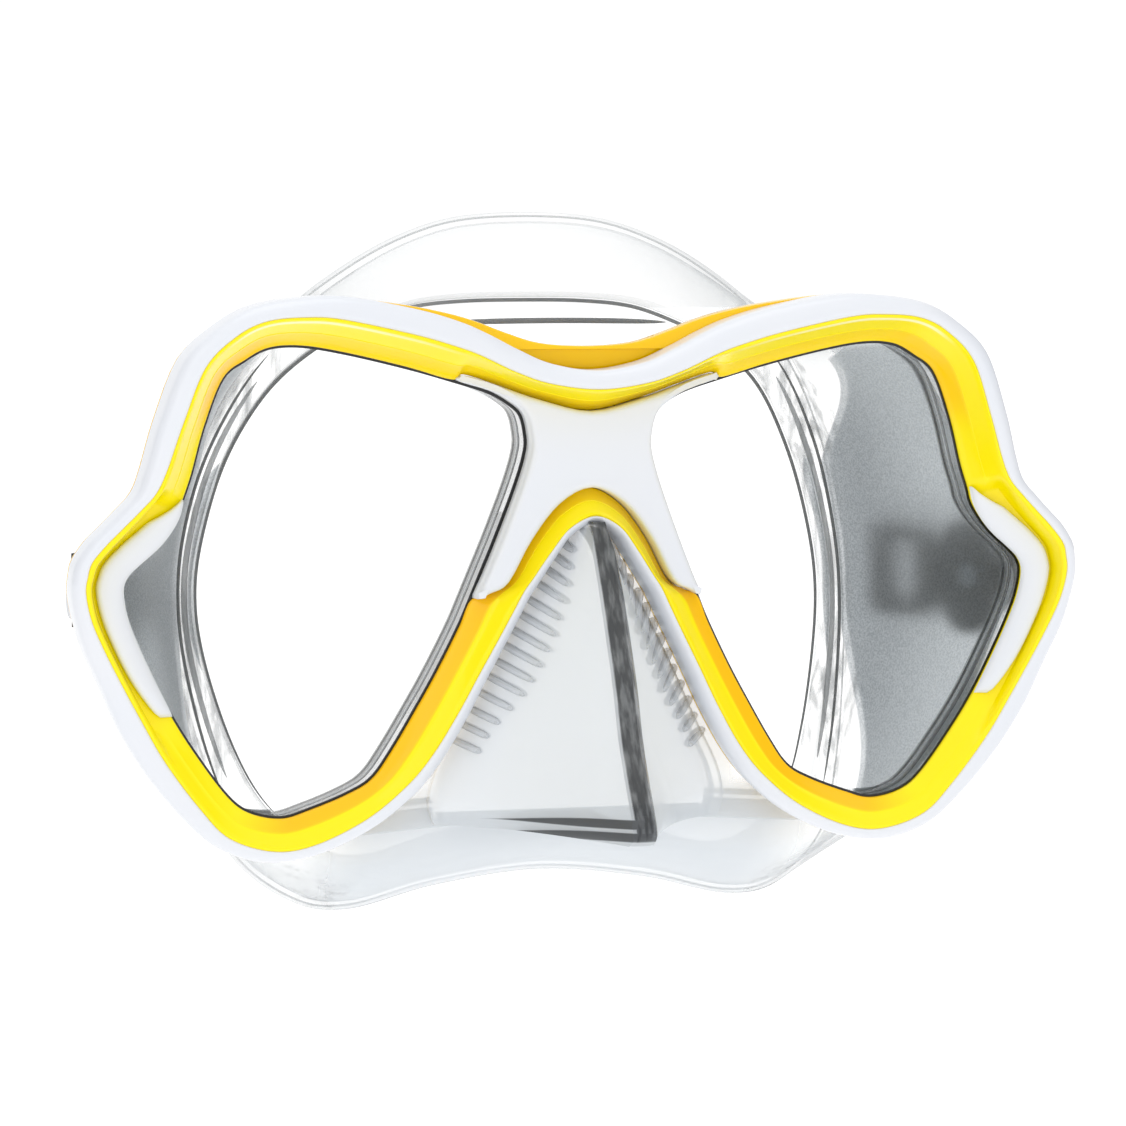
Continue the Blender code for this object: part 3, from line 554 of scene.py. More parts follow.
def zone_group():
    """Where the skirt is frosted or chalky, and where shade is painted on it, from its shape in
    object space.
    """
    group = bpy.data.node_groups.new("Skirt Zones", "ShaderNodeTree")
    for name in ("Frost", "Pale", "Tone", "Grade"):
        group.interface.new_socket(name, in_out="OUTPUT", socket_type="NodeSocketFloat")
    shader = Shader(group)
    outputs = shader.node("NodeGroupOutput")
    scaled = shader.node("ShaderNodeVectorMath", operation="MULTIPLY_ADD")
    shader.join(shader.object_place(), scaled.inputs[0])
    scaled.inputs[1].default_value = (1 / MM, 1 / MM, 1 / MM)
    scaled.inputs[2].default_value = tuple(-DATUM)
    drawn = scaled.outputs[0]
    split = shader.node("ShaderNodeSeparateXYZ")
    shader.join(drawn, split.inputs["Vector"])
    x, y, z = (split.outputs[axis] for axis in "XYZ")
    wide = shader.maths("ABSOLUTE", x)
    front = shader.maths("ADD", shader.maths("MULTIPLY", z, -LENS_LEAN), y)

    def both(*masks):
        made = masks[0]
        for mask in masks[1:]:
            made = shader.maths("MULTIPLY", made, mask)
        return made

    def either(first, second):
        return shader.maths("MAXIMUM", first, second)

    # Frost: the side walls, up to a line in front of the flange.
    rise = shader.fade(z, *BROW_RAMP, 0.0, BROW_CUT)
    fall = shader.fade(z, *CHEEK_RAMP, 0.0, CHEEK_CUT)
    rear = shader.maths("SUBTRACT", shader.maths("SUBTRACT", FROST_BACK, rise), fall)
    inside = shader.fade(shader.maths("SUBTRACT", y, rear), -0.3, 0.3, 1.0, 0.0)
    above = shader.fade(z, FROST_LOW, FROST_LOW + 0.6)
    below = shader.fade(z, FROST_HIGH - 0.6, FROST_HIGH, 1.0, 0.0)
    side = shader.fade(wide, FROST_WIDE, FROST_WIDE + 0.6)
    start = shader.fade(y, FROST_FRONT, FROST_FRONT + 0.5)
    shader.join(both(inside, above, below, side, start), outputs.inputs["Frost"])
    shader.join(shader.fade(y, 44.0, 20.0), outputs.inputs["Grade"])

    # Pale: the matt nose pocket and the wall under it, but not the dark band on the ridge.
    nose = both(shader.fade(front, 11.0, 17.0, 1.0, 0.0), shader.fade(z, 7.8, 8.2, 1.0, 0.0))
    nose = both(nose, shader.fade(wide, 27.0, 31.0, 1.0, 0.0))
    tip = shader.fade(z, -43.9, -43.6, 1.0, 0.0)
    off = shader.maths("ABSOLUTE", shader.maths("SUBTRACT", x, 0.6))
    ridge = both(nose, shader.fade(off, 1.9, 2.15, 1.0, 0.0), shader.maths("SUBTRACT", 1.0, tip))
    under = both(shader.fade(z, -36.0, -42.0), shader.fade(wide, 48.0, 34.0, 0.3, 1.0))
    under = both(under, shader.fade(y, 28.0, 40.0, 1.0, 0.45))
    shader.join(either(shader.maths("SUBTRACT", nose, ridge), under), outputs.inputs["Pale"])

    # Tone here is painted shade: a mottled dark band on the ridge, two tapering shadows under the
    # nose tip and shade over the brow.
    ridge_shade_noise = shader.cloud(shader.stretched(drawn, (1.2, 0.3, 0.3)), 0.8, 4.0)
    band = both(ridge, shader.fade(ridge_shade_noise, 0.4, 0.72, 0.94, 0.8))
    level = shader.maths("ADD", shader.maths("MULTIPLY", y, 0.067), z)
    upper = shader.maths("ABSOLUTE", shader.maths("ADD", level, 42.5))
    lower = shader.maths("ABSOLUTE", shader.maths("ADD", level, 44.6))
    taper = shader.fade(x, -19.0, -5.0, 0.8, 0.0)
    near = shader.maths("ADD", shader.maths("MINIMUM", upper, lower), taper)
    tip_shade = both(nose, shader.fade(near, 0.65, 0.85, 0.88, 0.0))
    tip_shade = both(tip_shade, shader.fade(x, 2.0, 2.4, 1.0, 0.0), shader.fade(x, -19.0, -18.0))
    fold = both(shader.fade(z, 30.0, 33.0, 0.0, 0.28), shader.fade(y, 17.0, 19.0, 1.0, 0.0))
    fold = both(fold, shader.fade(front, 15.0, 16.0), shader.fade(wide, 30.0, 26.0))

    # Tone also paints shade in streaks on the flange's lip and on the skirt's lower corners.
    strand = shader.cloud(shader.stretched(drawn, (0.45, 0.45, 0.03)), 1.0, 3.0)
    streak_shade = shader.fade(strand, 0.42, 0.68, 0.0, 0.56)
    lip = both(shader.fade(y, 43.0, 45.5), shader.fade(wide, 34.0, 42.0))
    corner = both(shader.fade(wide, 36.0, 38.0), shader.fade(wide, 50.0, 47.0))
    corner = both(corner, shader.fade(z, -46.5, -48.0), 0.7)
    corner = both(corner, shader.fade(y, 22.0, 26.0), shader.fade(y, 38.0, 35.0))
    tone = either(either(band, either(tip_shade, fold)), both(streak_shade, either(lip, corner)))
    shader.join(tone, outputs.inputs["Tone"])
    return group


def silicone_material(settings):
    """Clear silicone that greys where it turns away from the viewer.

    The zones apply where its zones attribute is 1. Its pale attribute turns it chalky, and its
    tone attribute darkens the folds and edges that gather shadow.
    """
    made, shader, principled = new_material("clear silicone", ior=1.3, specular_ior_level=0.3)
    value = add_grain(shader, principled, 3000.0, 0.15, 0.0001)
    where = shader.attribute("zones")
    zones = shader.node("ShaderNodeGroup", node_tree=zone_group()).outputs
    frost = shader.maths("MULTIPLY", zones["Frost"], where)

    def either(first, second, clamp=False):
        return shader.maths("MAXIMUM", first, second, clamp)

    pale = either(shader.attribute("pale"), shader.maths("MULTIPLY", zones["Pale"], where))
    tone = either(shader.attribute("tone"), shader.maths("MULTIPLY", zones["Tone"], where))
    turned = shader.turned_away(settings.edge_power)
    clear = shader.maths("ADD", shader.maths("MULTIPLY", turned, settings.edge_strength), 0.006)
    covered = either(clear, shader.maths("MULTIPLY", tone, 0.94))
    covered = either(covered, shader.maths("MULTIPLY", pale, 0.5))
    covered = either(covered, frost, clamp=True)
    colour = shader.blend(turned, tuple(settings.silicone), tuple(settings.silicone_edge))
    colour = shader.blend(pale, colour, tuple(settings.nose))
    colour = shader.blend(tone, colour, PAINTED_SHADE_COLOUR)
    speck = shader.blend(shader.fade(value, 0.35, 0.65), *SPECK_COLOURS)
    near, far = tuple(settings.frosted_front), tuple(settings.frosted)
    ground = shader.blend(zones["Grade"], far, near)
    colour = shader.blend(frost, colour, shader.blend(0.3, ground, speck))
    glassy = shader.maths("MULTIPLY", frost, 0.92)
    shader.join(glassy, principled.inputs["Transmission Weight"])
    matt = either(shader.maths("MULTIPLY", frost, 0.5), shader.maths("MULTIPLY", pale, 0.34))
    shader.join(covered, principled.inputs["Alpha"])
    shader.join(colour, principled.inputs["Base Color"])
    shader.join(shader.maths("ADD", matt, 0.06), principled.inputs["Roughness"])
    return made


def glass_material():
    """Clear tempered glass, nearly free of reflections."""
    colour = (0.8, 0.86, 0.86)
    made, shader, principled = new_material("lens glass", base_color=colour, roughness=0.02)
    shown = shader.maths("ADD", shader.turned_away(4.0), 0.015, clamp=True)
    shader.join(shown, principled.inputs["Alpha"])
    principled.inputs["Specular IOR Level"].default_value = 0.15
    return made


def edge_material():
    """Black material of the thin ring that shows as a fine line round each lens."""
    colour = (0.004, 0.004, 0.005)
    made, shader, principled = new_material("black lens ring", base_color=colour, roughness=0.22)
    add_grain(shader, principled, 700.0, 0.05, 0.0001)
    return made


def black_material():
    """Lightly grained black plastic of the buckles."""
    made, shader, principled = new_material("black buckle plastic", roughness=0.42)
    value = add_grain(shader, principled, 1600.0, 0.35, 0.0001)
    colour = shader.blend(value, (0.006, 0.006, 0.007), (0.022, 0.022, 0.024))
    shader.join(colour, principled.inputs["Base Color"])
    return made


def steel_material():
    """Brushed steel of the pins, axles and springs."""
    colour = (0.62, 0.63, 0.65)
    made, shader, principled = new_material("pin steel", metallic=1.0, base_color=colour)
    value = add_grain(shader, principled, 2200.0, 0.15, 0.0001)
    rough = shader.maths("ADD", shader.maths("MULTIPLY", value, 0.2), 0.15)
    shader.join(rough, principled.inputs["Roughness"])
    return made


# ---------------------------------------------------------------- frame pieces


def amber_and_shade_weight(place):
    """How much amber the inner facet shows at a place along RIM: both the deeper colour of thick
    moulding and painted shade on the recessed facet.
    """
    brow = ramp(place, 11.5, 10.5) * mix(0.4, 0.75, ramp(place, 7.0, 9.0))
    cheek = ramp(place, 25.5, 27.5) * mix(1.0, 0.55, ramp(place, 35.0, 38.0))
    return max(brow, cheek)


def painted_highlight_weight(place):
    """How much of the painted highlight, a pale line under the crest, the bezel shows at a place
    along RIM.
    """
    return ramp(place, 3.0, 6.5) * ramp(place, 9.6, 8.4)


def shelf_weight(place):
    """1 where the bezel is cut down to carry the temple cover, 0 elsewhere."""
    return ramp(place, 12.6, 13.6) * ramp(place, 24.2, 23.0)


def bezel_section(a, b, place):
    """Points and tints across the bezel from the lens edge a to the crest b."""
    rise = crest_rise(b[1])
    lip = BEZEL_LIP
    shelf = shelf_weight(place)
    painted_highlight = painted_highlight_weight(place)
    # A tint above 0 is amber: the deeper colour of thick moulding together with painted shade on the
    # recessed inner facet and on the outer wall under the trim. A tint below 0 is the painted
    # highlight.
    slope = [
        (0.0, -CLEARANCE, 1.0),
        (0.0, -lip * 0.7, 1.0),
        (0.015, -lip * 0.93, 1.0),
        (0.045, -lip, 1.0),
        (0.20, -mix(lip, rise, 0.15), 1.0),
        (0.40, -mix(lip, rise, 0.36), 0.95),
        (0.45, -mix(lip, rise, 0.43), 0.45),
        (0.47, -mix(lip, rise, 0.43), 0.0),
        (0.60, -mix(lip, rise, 0.60), 0.0),
        (0.74, -mix(lip, rise, 0.78), 0.0),
        (0.79, -mix(lip, rise, 0.85), -0.1 * painted_highlight),
        (0.81, -mix(lip, rise, 0.88), -painted_highlight),
        (0.86, -mix(lip, rise, 0.94), -painted_highlight),
        (0.88, -mix(lip, rise, 0.96), -0.1 * painted_highlight),
        (0.92, -rise, 0.0),
        (0.955, -rise, 0.0),
        (0.985, -rise + 0.08, 0.1),
        (1.0, -rise + 0.2, 0.45),
        (1.0, -CLEARANCE, 1.0),
    ]
    points, tints = [], []
    for share, extra, tint in slope:
        if 0.04 < share < SHELF_SHARE:
            extra = mix(extra, -mix(lip, SHELF, share / SHELF_SHARE), shelf)
        elif SHELF_SHARE < share < 0.9:
            extra = mix(extra, -mix(SHELF, rise, ramp(share, 0.7, 0.9)), shelf)
        flat = Vector(a) + (Vector(b) - Vector(a)) * share
        points.append(on_rim(flat, extra))
        # From the crest on, the outer wall under the trim is amber as painted shade between the
        # parts.
        amber = amber_and_shade_weight(place) if share < 0.9 else 0.6
        tints.append(tint if tint < 0.0 else tint * amber)
    return points, tints


def make_bezel(steps, material):
    inner, crest = rim_loop(INNER, steps), offset_loop(rim_loop(CREST, steps), 0.02)
    made = [bezel_section(a, b, place) for a, b, place in zip(inner, crest, rim_places(steps))]
    bm = skin([m[0] for m in made], True, values=[m[1] for m in made])
    return finish_mesh("yellow_bezel", bm, material, 50.0)


def make_trim(steps, material):
    """The white rim: a soft round back from the crest to the outer edge, then the side wall."""
    crest = rim_loop(CREST, steps)
    sections = []
    for a, b in zip(crest, rim_loop(OUTER, steps)):
        rise = crest_rise(a[1])
        drop = min(2.2, rise - 1.0)
        profile = [(0.0, -CLEARANCE), (0.0, -rise + 0.3), (0.03, -rise + 0.12), (0.1, -rise + 0.02)]
        for step in range(9):
            angle = math.radians(10 * step)
            profile.append((0.16 + 0.84 * math.sin(angle), -rise + drop * (1 - math.cos(angle))))
        profile.append((1.0, -rise + drop + 0.3 * (rise - drop)))
        profile.append((1.0, -CLEARANCE))
        sections.append([on_rim(a + (b - a) * s, extra) for s, extra in profile])
    return finish_mesh("white_trim", skin(sections, True), material, 60.0)


def make_band(steps, material):
    """The structural frame behind the trim, with its amber band above the brow."""
    half = []
    for index, row in enumerate(RIM):
        x, z = row[OUTER]
        half.append((x, z + max(0.0, 1.0 - index / BROW_BAND_ROWS) * BROW_BAND))
    edge = offset_loop(smooth_closed(mirrored(half), steps), -0.5)
    hole = offset_loop(lens_loop(steps), LENS_BORDER + CLEARANCE)
    levels = [(0.5, at_lens(-0.1)), (0.1, at_lens(0.15)), (0.0, at_lens(0.6))]
    levels += [(0.0, at_lens(LENS_THICKNESS - 0.5)), (0.4, at_lens(LENS_THICKNESS))]
    bm = plate([edge, hole, flipped(hole)], levels)
    layer = bm.verts.layers.float.new("tint")
    for vertex in bm.verts:
        vertex[layer] = 0.85
    return finish_mesh("yellow_frame", bm, material)


def make_cover(steps, material):
    """The white bridge cover, flat in the middle with rounded edges."""
    top = [row[INNER] for row in RIM[:LENS_TOP_CORNER]]
    low = [row[INNER] for row in RIM[LENS_LOW_CORNER + 1 :]]
    tip = Vector(RIM[LENS_TOP_CORNER][INNER]).lerp(Vector(NOSE_SIDE[0]), 0.12)
    toe = Vector(RIM[LENS_LOW_CORNER][INNER]).lerp(Vector(NOSE_SIDE[-1]), 0.12)
    loop = smooth_closed(mirrored([*top, tip, *NOSE_SIDE, toe, *low]), steps)
    loop = offset_loop(loop, -0.12)

    def front(drop):
        """The cover's face, flat to COVER_FLAT from the middle and swept back beyond it."""
        return lambda x, z: COVER_FACE + drop + COVER_SWEEP * max(0.0, abs(x) - COVER_FLAT) ** 1.5

    levels = [(0.0, at_lens(-CLEARANCE)), (0.0, front(0.9)), (0.12, front(0.45))]
    levels += [(0.35, front(0.16)), (0.75, front(0.03)), (1.1, front(0.0))]
    return finish_mesh("white_bridge_cover", plate([loop], levels), material, 60.0)


def make_temple_covers(steps, material):
    """White covers lying on the bezel at the temples, with a rolled edge."""
    count = len(ACCENT_SHARES)
    inner = [Vector((*RIM[ACCENT_START + i][INNER], 0.0)) for i in range(count)]
    outer = []
    for i, share in enumerate(ACCENT_SHARES):
        a, b = (Vector(RIM[ACCENT_START + i][which]) for which in (INNER, CREST))
        outer.append(Vector((*(a + (b - a) * share), share)))
    inner, outer = zip(*smooth_open(list(zip(inner, outer)), steps))
    profile = [(-0.06, 0.1), (-0.06, 1.0), (-0.02, 1.4), (0.12, 1.75), (0.3, 1.95), (0.55, 2.0)]
    profile += [(0.8, 1.85), (0.93, 1.5), (0.985, 1.0), (1.0, 0.4), (1.0, 0.1)]
    made = []
    for name, side in SIDES:
        sections = []
        last = len(inner) - 1
        for i, (a, b) in enumerate(zip(inner, outer)):
            end = min(1.0, (last - i) / (0.8 * steps))
            start = min(1.0, i / (1.5 * steps))
            bulk = math.sqrt(max(0.0, 1 - (1 - min(end, start)) ** 2))
            narrow = mix(0.35, 1.0, start) * mix(0.72, 1.0, math.sqrt(1 - (1 - end) ** 2))
            section = []
            for share, extra in profile:
                flat = Vector((a.x, a.y)) + Vector((b.x - a.x, b.y - a.y)) * share * narrow
                base = mix(BEZEL_LIP, SHELF, share * b.z / SHELF_SHARE)
                height = -base - 0.2 - extra * mix(0.15, 1.0, bulk) * 0.72
                section.append(Vector(on_rim(flat, height)))
            sections.append([Vector((side * p.x, p.y, p.z)) for p in section])
        cover = skin(sections, False)
        made.append(finish_mesh("white_temple_cover_" + name, cover, material, 60.0))
    return made


def make_lenses(steps, glass, bead):
    """Tempered glass lenses with bevelled edges, and a thin black ring round each one."""
    edge = offset_loop(lens_loop(steps), LENS_BORDER)
    opening = lens_loop(steps)
    made = []
    for name, side in SIDES:
        outline = edge if side > 0 else flipped(edge)
        levels = [(0.4, at_lens(0.0)), (0.0, at_lens(0.4))]
        levels += [(0.0, at_lens(LENS_THICKNESS - 0.4)), (0.4, at_lens(LENS_THICKNESS))]
        lens = finish_mesh("lens_glass_" + name, plate([outline], levels), glass, 25.0)
        sections = []
        hole = opening if side > 0 else flipped(opening)
        grown = offset_loop(hole, 0.9)
        shrunk = offset_loop(hole, -0.42)
        for a, b in zip(shrunk, grown):
            corners = ((a, -0.25), (a, -0.05), (b, -0.05), (b, -0.25))
            sections.append([on_rim(point, extra) for point, extra in corners])
        ring = finish_mesh("lens_line_" + name, skin(sections, True), bead)
        made.append((name, lens, ring))
    return made


# ---------------------------------------------------------------- skirt


def chamber_rows(steps):
    """The chamber's four closed loops of (x, y, z), front to back."""
    rows = []
    for which in range(4):
        half = []
        for station in CHAMBER:
            point = station[which]
            if which == 0:
                y = lens_plane(*point) + LENS_THICKNESS + CLEARANCE
                half.append((point[0], y, point[1]))
            else:
                half.append(point)
        rows.append(smooth_closed(mirrored(half), steps))
    return rows


def inset_row(row, distance, back):
    """A chamber loop drawn in by distance across and moved back."""
    flat = offset_loop([(p[0], p[2]) for p in row], -distance)
    return [Vector((q[0], p[1] + back, q[1])) for p, q in zip(row, flat)]


def skirt_outside(steps):
    """The chamber's outer surface from the lenses to the rolled flange, closed across its mouth."""
    front, middle, rear, opening = chamber_rows(steps)
    neck = inset_row(front, NECK_INSET, NECK_DEPTH)
    start = [inset_row(front, 1.0, 0.0), inset_row(front, 0.3, 0.15), inset_row(front, 0.0, 0.6)]
    start += [inset_row(front, 0.4, 1.3), inset_row(front, 1.6, 2.2)]
    wall = smooth_open([neck, middle, inset_row(rear, 0.1, -1.2)], 7)
    roll = [rear, inset_row(rear, 0.7, 0.8)]
    middle_lip = [(a + b) / 2 + Vector((0, 1.1, 0)) for a, b in zip(rear, opening)]
    flange = smooth_open([inset_row(rear, 1.6, 1.1), middle_lip, inset_row(opening, 0.3, 0.2)], 3)
    return skin(start + wall + roll + flange + [inset_row(opening, 2.5, -0.4)], False)


def skirt_hollow(steps, wall):
    """The space inside the chamber, running on past the face opening."""
    front, middle, rear, opening = chamber_rows(steps)
    neck = inset_row(front, NECK_INSET + wall, NECK_DEPTH + wall / 2)
    inside = [neck, inset_row(middle, wall, 0.0), inset_row(rear, wall, -wall)]
    inside = smooth_open([*inside, inset_row(opening, -1.0, -2.2 * wall)], 7)
    mouth = [inset_row(opening, 0.0, -1.4), inset_row(opening, 0.0, 0.0)]
    beyond = [p + Vector((0.0, 40.0, 0.0)) for p in opening]
    start = inset_row(front, NECK_INSET + wall / 2, wall)
    return skin([start, *inside, *mouth, beyond], False)


def nose_sections(wall, back, rows_between):
    """Level sections of the nose pocket, drawn in by the wall thickness."""
    stations = [[Vector(station[:3]), Vector((station[3], 0, 0))] for station in NOSE]
    fine = smooth_open(stations, rows_between)
    sections = []
    for index, (place, fullness) in enumerate(fine):
        z, half_width, ridge = place
        half_width -= wall
        if index == 0:
            z -= wall
        if index == len(fine) - 1:
            z += wall
        ridge_y = ridge + wall * 1.3
        root = lens_plane(half_width, z) + 2.0
        ridge_half = min(2.2, half_width * 0.45)
        half = [(0.0, ridge_y), (ridge_half * 0.55, ridge_y + 0.05)]
        half.append((ridge_half * 0.9, ridge_y + 0.3))
        for step in range(1, 15):
            s = step / 14
            fall = (root - ridge_y - 0.6) * (1 - (1 - s) ** fullness.x)
            half.append((ridge_half + s * (half_width - ridge_half), ridge_y + 0.6 + fall))
        half += [(half_width, lens_plane(half_width, z) + back), (0.0, lens_plane(0, z) + back)]
        sections.append([(p[0], p[1], z) for p in mirrored(half)])
    return sections


def set_tones(target, tone=0.0, pale=0.0, zones=0.0):
    """Writes the zones, pale and tone that the silicone reads, the same on every face."""
    for name, value in (("zones", zones), ("pale", pale), ("tone", tone)):
        layer = target.data.attributes.new(name, "FLOAT", "FACE")
        for item in layer.data:
            item.value = value


def make_skirt(settings, material):
    """The clear silicone skirt with its nose pocket and frosted side walls."""
    steps = settings.skirt_steps
    skirt = finish_mesh("silicone_skirt", skirt_outside(steps), material)
    nose = finish_mesh("nose", skin(nose_sections(0.0, NOSE_BACK, 4), False), material)
    subtract(skirt, nose, "UNION")
    subtract(skirt, finish_mesh("chamber", skirt_hollow(steps, settings.skirt_wall), material))
    hollow = skin(nose_sections(NOSE_WALL, NOSE_HOLLOW_BACK, 4), False)
    subtract(skirt, finish_mesh("hollow", hollow, material))
    hole = offset_loop(lens_loop(4), -0.1)
    for _, side in SIDES:
        loop = hole if side > 0 else flipped(hole)
        through = plate([loop], [(0.0, at_lens(2.0)), (0.0, at_lens(6.4))])
        subtract(skirt, finish_mesh("cut", through, material))
    skirt.data.materials.clear()
    skirt.data.materials.append(material)
    skirt.data.shade_smooth()
    skirt.data.set_sharp_from_angle(angle=math.radians(35))
    set_tones(skirt, zones=1.0)
    return skirt


def make_seats(steps, material):
    """The lip that seats each lens: a short tube with dark and pale bands of painted shade through
    its depth.
    """
    shade_bands = [(0.0, 0.98), (1.3, 0.2), (1.9, 0.7), (3.1, 0.98), (4.3, 0.45), (5.0, 0.45)]
    depths = [LENS_THICKNESS + 0.15 + depth for depth, _ in shade_bands]
    tones = [tone for _, tone in shade_bands]
    made = []
    for name, side in SIDES:
        loop = offset_loop(lens_loop(steps), -0.05)
        outside = offset_loop(loop, 0.9)
        if side < 0:
            loop, outside = flipped(loop), flipped(outside)
        sections = []
        for a, b in zip(loop, outside):
            section = [on_rim(a, depth) for depth in depths]
            section += [on_rim(b, depth) for depth in depths[::-1]]
            sections.append(section)
        seat = finish_mesh("lens_seat_" + name, skin(sections, True), material)
        set_tones(seat)
        for index, item in enumerate(seat.data.attributes["tone"].data):
            item.value = (tones + [0.0] * len(tones))[index % (2 * len(tones))]
        made.append(seat)
    return made


def tube(path, radius, closed, sides=10):
    """A round tube along a path, drawn in to a point at the ends of an open one."""
    sections = []
    count = len(path)
    for i, centre in enumerate(path):
        if closed:
            ahead = path[(i + 1) % count] - path[i - 1]
        else:
            ahead = path[min(i + 1, count - 1)] - path[max(i - 1, 0)]
        t = 2 * i / (count - 1) - 1
        size = radius if closed else radius * math.sqrt(max(0.02, 1 - t**4))
        first = ahead.cross(Vector((0.0, 1.0, 0.0))).normalized()
        second = ahead.cross(first).normalized()
        ring = []
        for step in range(sides):
            angle = math.tau * step / sides
            ring.append(centre + (first * math.cos(angle) + second * math.sin(angle)) * size)
        sections.append(ring)
    return skin(sections, closed)


def make_folds(steps, material):
    """Tubes along the face flange's beads and folds and over the brow, with painted shade that shows
    as dark lines through the clear silicone.
    """
    _, middle, rear, opening = chamber_rows(steps)
    lip = inset_row(opening, 0.5, 0.2)
    bead = [a.lerp(b, 0.62) + Vector((0.0, -1.6, 0.0)) for a, b in zip(rear, opening)]
    fold_line = [a.lerp(b, 0.38) + Vector((0.0, -1.9, 0.0)) for a, b in zip(rear, opening)]
    heel = inset_row(rear, 0.7, -0.4)
    brow = []
    for i in range(41):
        t = i / 20 - 1
        brow.append(Vector((21.0 * t, 30.0, 39.7 - 0.4 * t * t)))
    paths = [("brow_fold", brow, 0.5, 0.85, False)]
    for name, path, radius, tone, low, high in (
        ("flange_lip", lip, 0.34, 0.85, -46.0, None),
        ("flange_bead", bead, 0.55, 0.6, -40.0, 30.0),
        ("flange_fold", fold_line, 0.3, 0.85, -44.0, 34.0),
    ):
        half = path[: len(path) // 2 + 1]
        half = [p for p in half if p.z > low and (high is None or p.z < high)]
        if high is None:
            paths.append((name, flipped(half[:0:-1]) + half, radius, tone, False))
            continue
        paths.append((name + "_right", half, radius, tone, False))
        paths.append((name + "_left", flipped(half), radius, tone, False))
    paths.append(("flange_heel", heel, 0.18, 0.42, True))
    made = []
    for name, path, radius, tone, closed in paths:
        fold = finish_mesh(name, tube(path, radius, closed), material, 60.0)
        # Each tube's tone is painted shade.
        set_tones(fold, tone=tone)
        made.append(fold)
    return made


# ---------------------------------------------------------------- nose ribs


def rib_tree():
    """Geometry Nodes: a rib on every point, turned and sized by the point's own attributes."""
    tree = bpy.data.node_groups.new("Grip Ribs", "GeometryNodeTree")
    for name, kind in (("Geometry", "Geometry"), ("Rib", "Object"), ("Material", "Material")):
        tree.interface.new_socket(name, in_out="INPUT", socket_type="NodeSocket" + kind)
    tree.interface.new_socket("Geometry", in_out="OUTPUT", socket_type="NodeSocketGeometry")
    shader = Shader(tree)
    inputs, outputs = shader.node("NodeGroupInput"), shader.node("NodeGroupOutput")
    info = shader.node("GeometryNodeObjectInfo")
    turn = shader.node("GeometryNodeInputNamedAttribute", data_type="FLOAT_VECTOR")
    turn.inputs["Name"].default_value = "turn"
    size = shader.node("GeometryNodeInputNamedAttribute", data_type="FLOAT_VECTOR")
    size.inputs["Name"].default_value = "size"
    place = shader.node("GeometryNodeInstanceOnPoints")
    real = shader.node("GeometryNodeRealizeInstances")
    paint = shader.node("GeometryNodeSetMaterial")
    shader.join(inputs.outputs["Geometry"], place.inputs["Points"])
    shader.join(inputs.outputs["Rib"], info.inputs["Object"])
    shader.join(info.outputs["Geometry"], place.inputs["Instance"])
    shader.join(turn.outputs["Attribute"], place.inputs["Rotation"])
    shader.join(size.outputs["Attribute"], place.inputs["Scale"])
    shader.join(place.outputs["Instances"], real.inputs["Geometry"])
    shader.join(real.outputs["Geometry"], paint.inputs["Geometry"])
    shader.join(inputs.outputs["Material"], paint.inputs["Material"])
    shader.join(paint.outputs["Geometry"], outputs.inputs["Geometry"])
    return tree


def flank_curve(z):
    """The right flank of the nose at a height, as points from the root to the ridge."""
    sections = nose_sections(0.0, NOSE_BACK, 8)
    best = min(sections, key=lambda section: abs(section[0][2] - z))
    half = [Vector(p) for p in best[2:18]]
    for point in half:
        point.z = z
    return half[::-1]


def along(line, distance):
    """The place and direction at a distance along a line of points."""
    for a, b in zip(line, line[1:]):
        step = (b - a).length
        if distance <= step:
            return a.lerp(b, distance / step), (b - a).normalized()
        distance -= step
    return line[-1], (line[-1] - line[-2]).normalized()


def make_rib(material):
    """One rib: a capsule along X, 1 long, wide and high, with painted shade under its front end and
    along its long edges.
    """
    sections = []
    count = 16
    for i in range(count + 1):
        t = -math.cos(math.pi * i / count)
        size = math.sqrt(max(0.0004, 1 - abs(t) ** 6))
        ring = []
        for step in range(12):
            angle = math.tau * step / 12
            ring.append((0.5 * t, 0.5 * size * math.cos(angle), 0.5 * size * math.sin(angle)))
        sections.append(ring)
    rib = finish_mesh("one_rib", skin(sections, False), material, 70.0, Vector())
    set_tones(rib, pale=0.7)
    # Tone is painted shade: darker at the front end and along the long edges.
    for face, item in zip(rib.data.polygons, rib.data.attributes["tone"].data):
        place = face.center / MM
        item.value = 0.25 * ramp(place.x, 0.34, 0.48) + 0.5 * ramp(abs(place.y), 0.28, 0.46)
    return rib


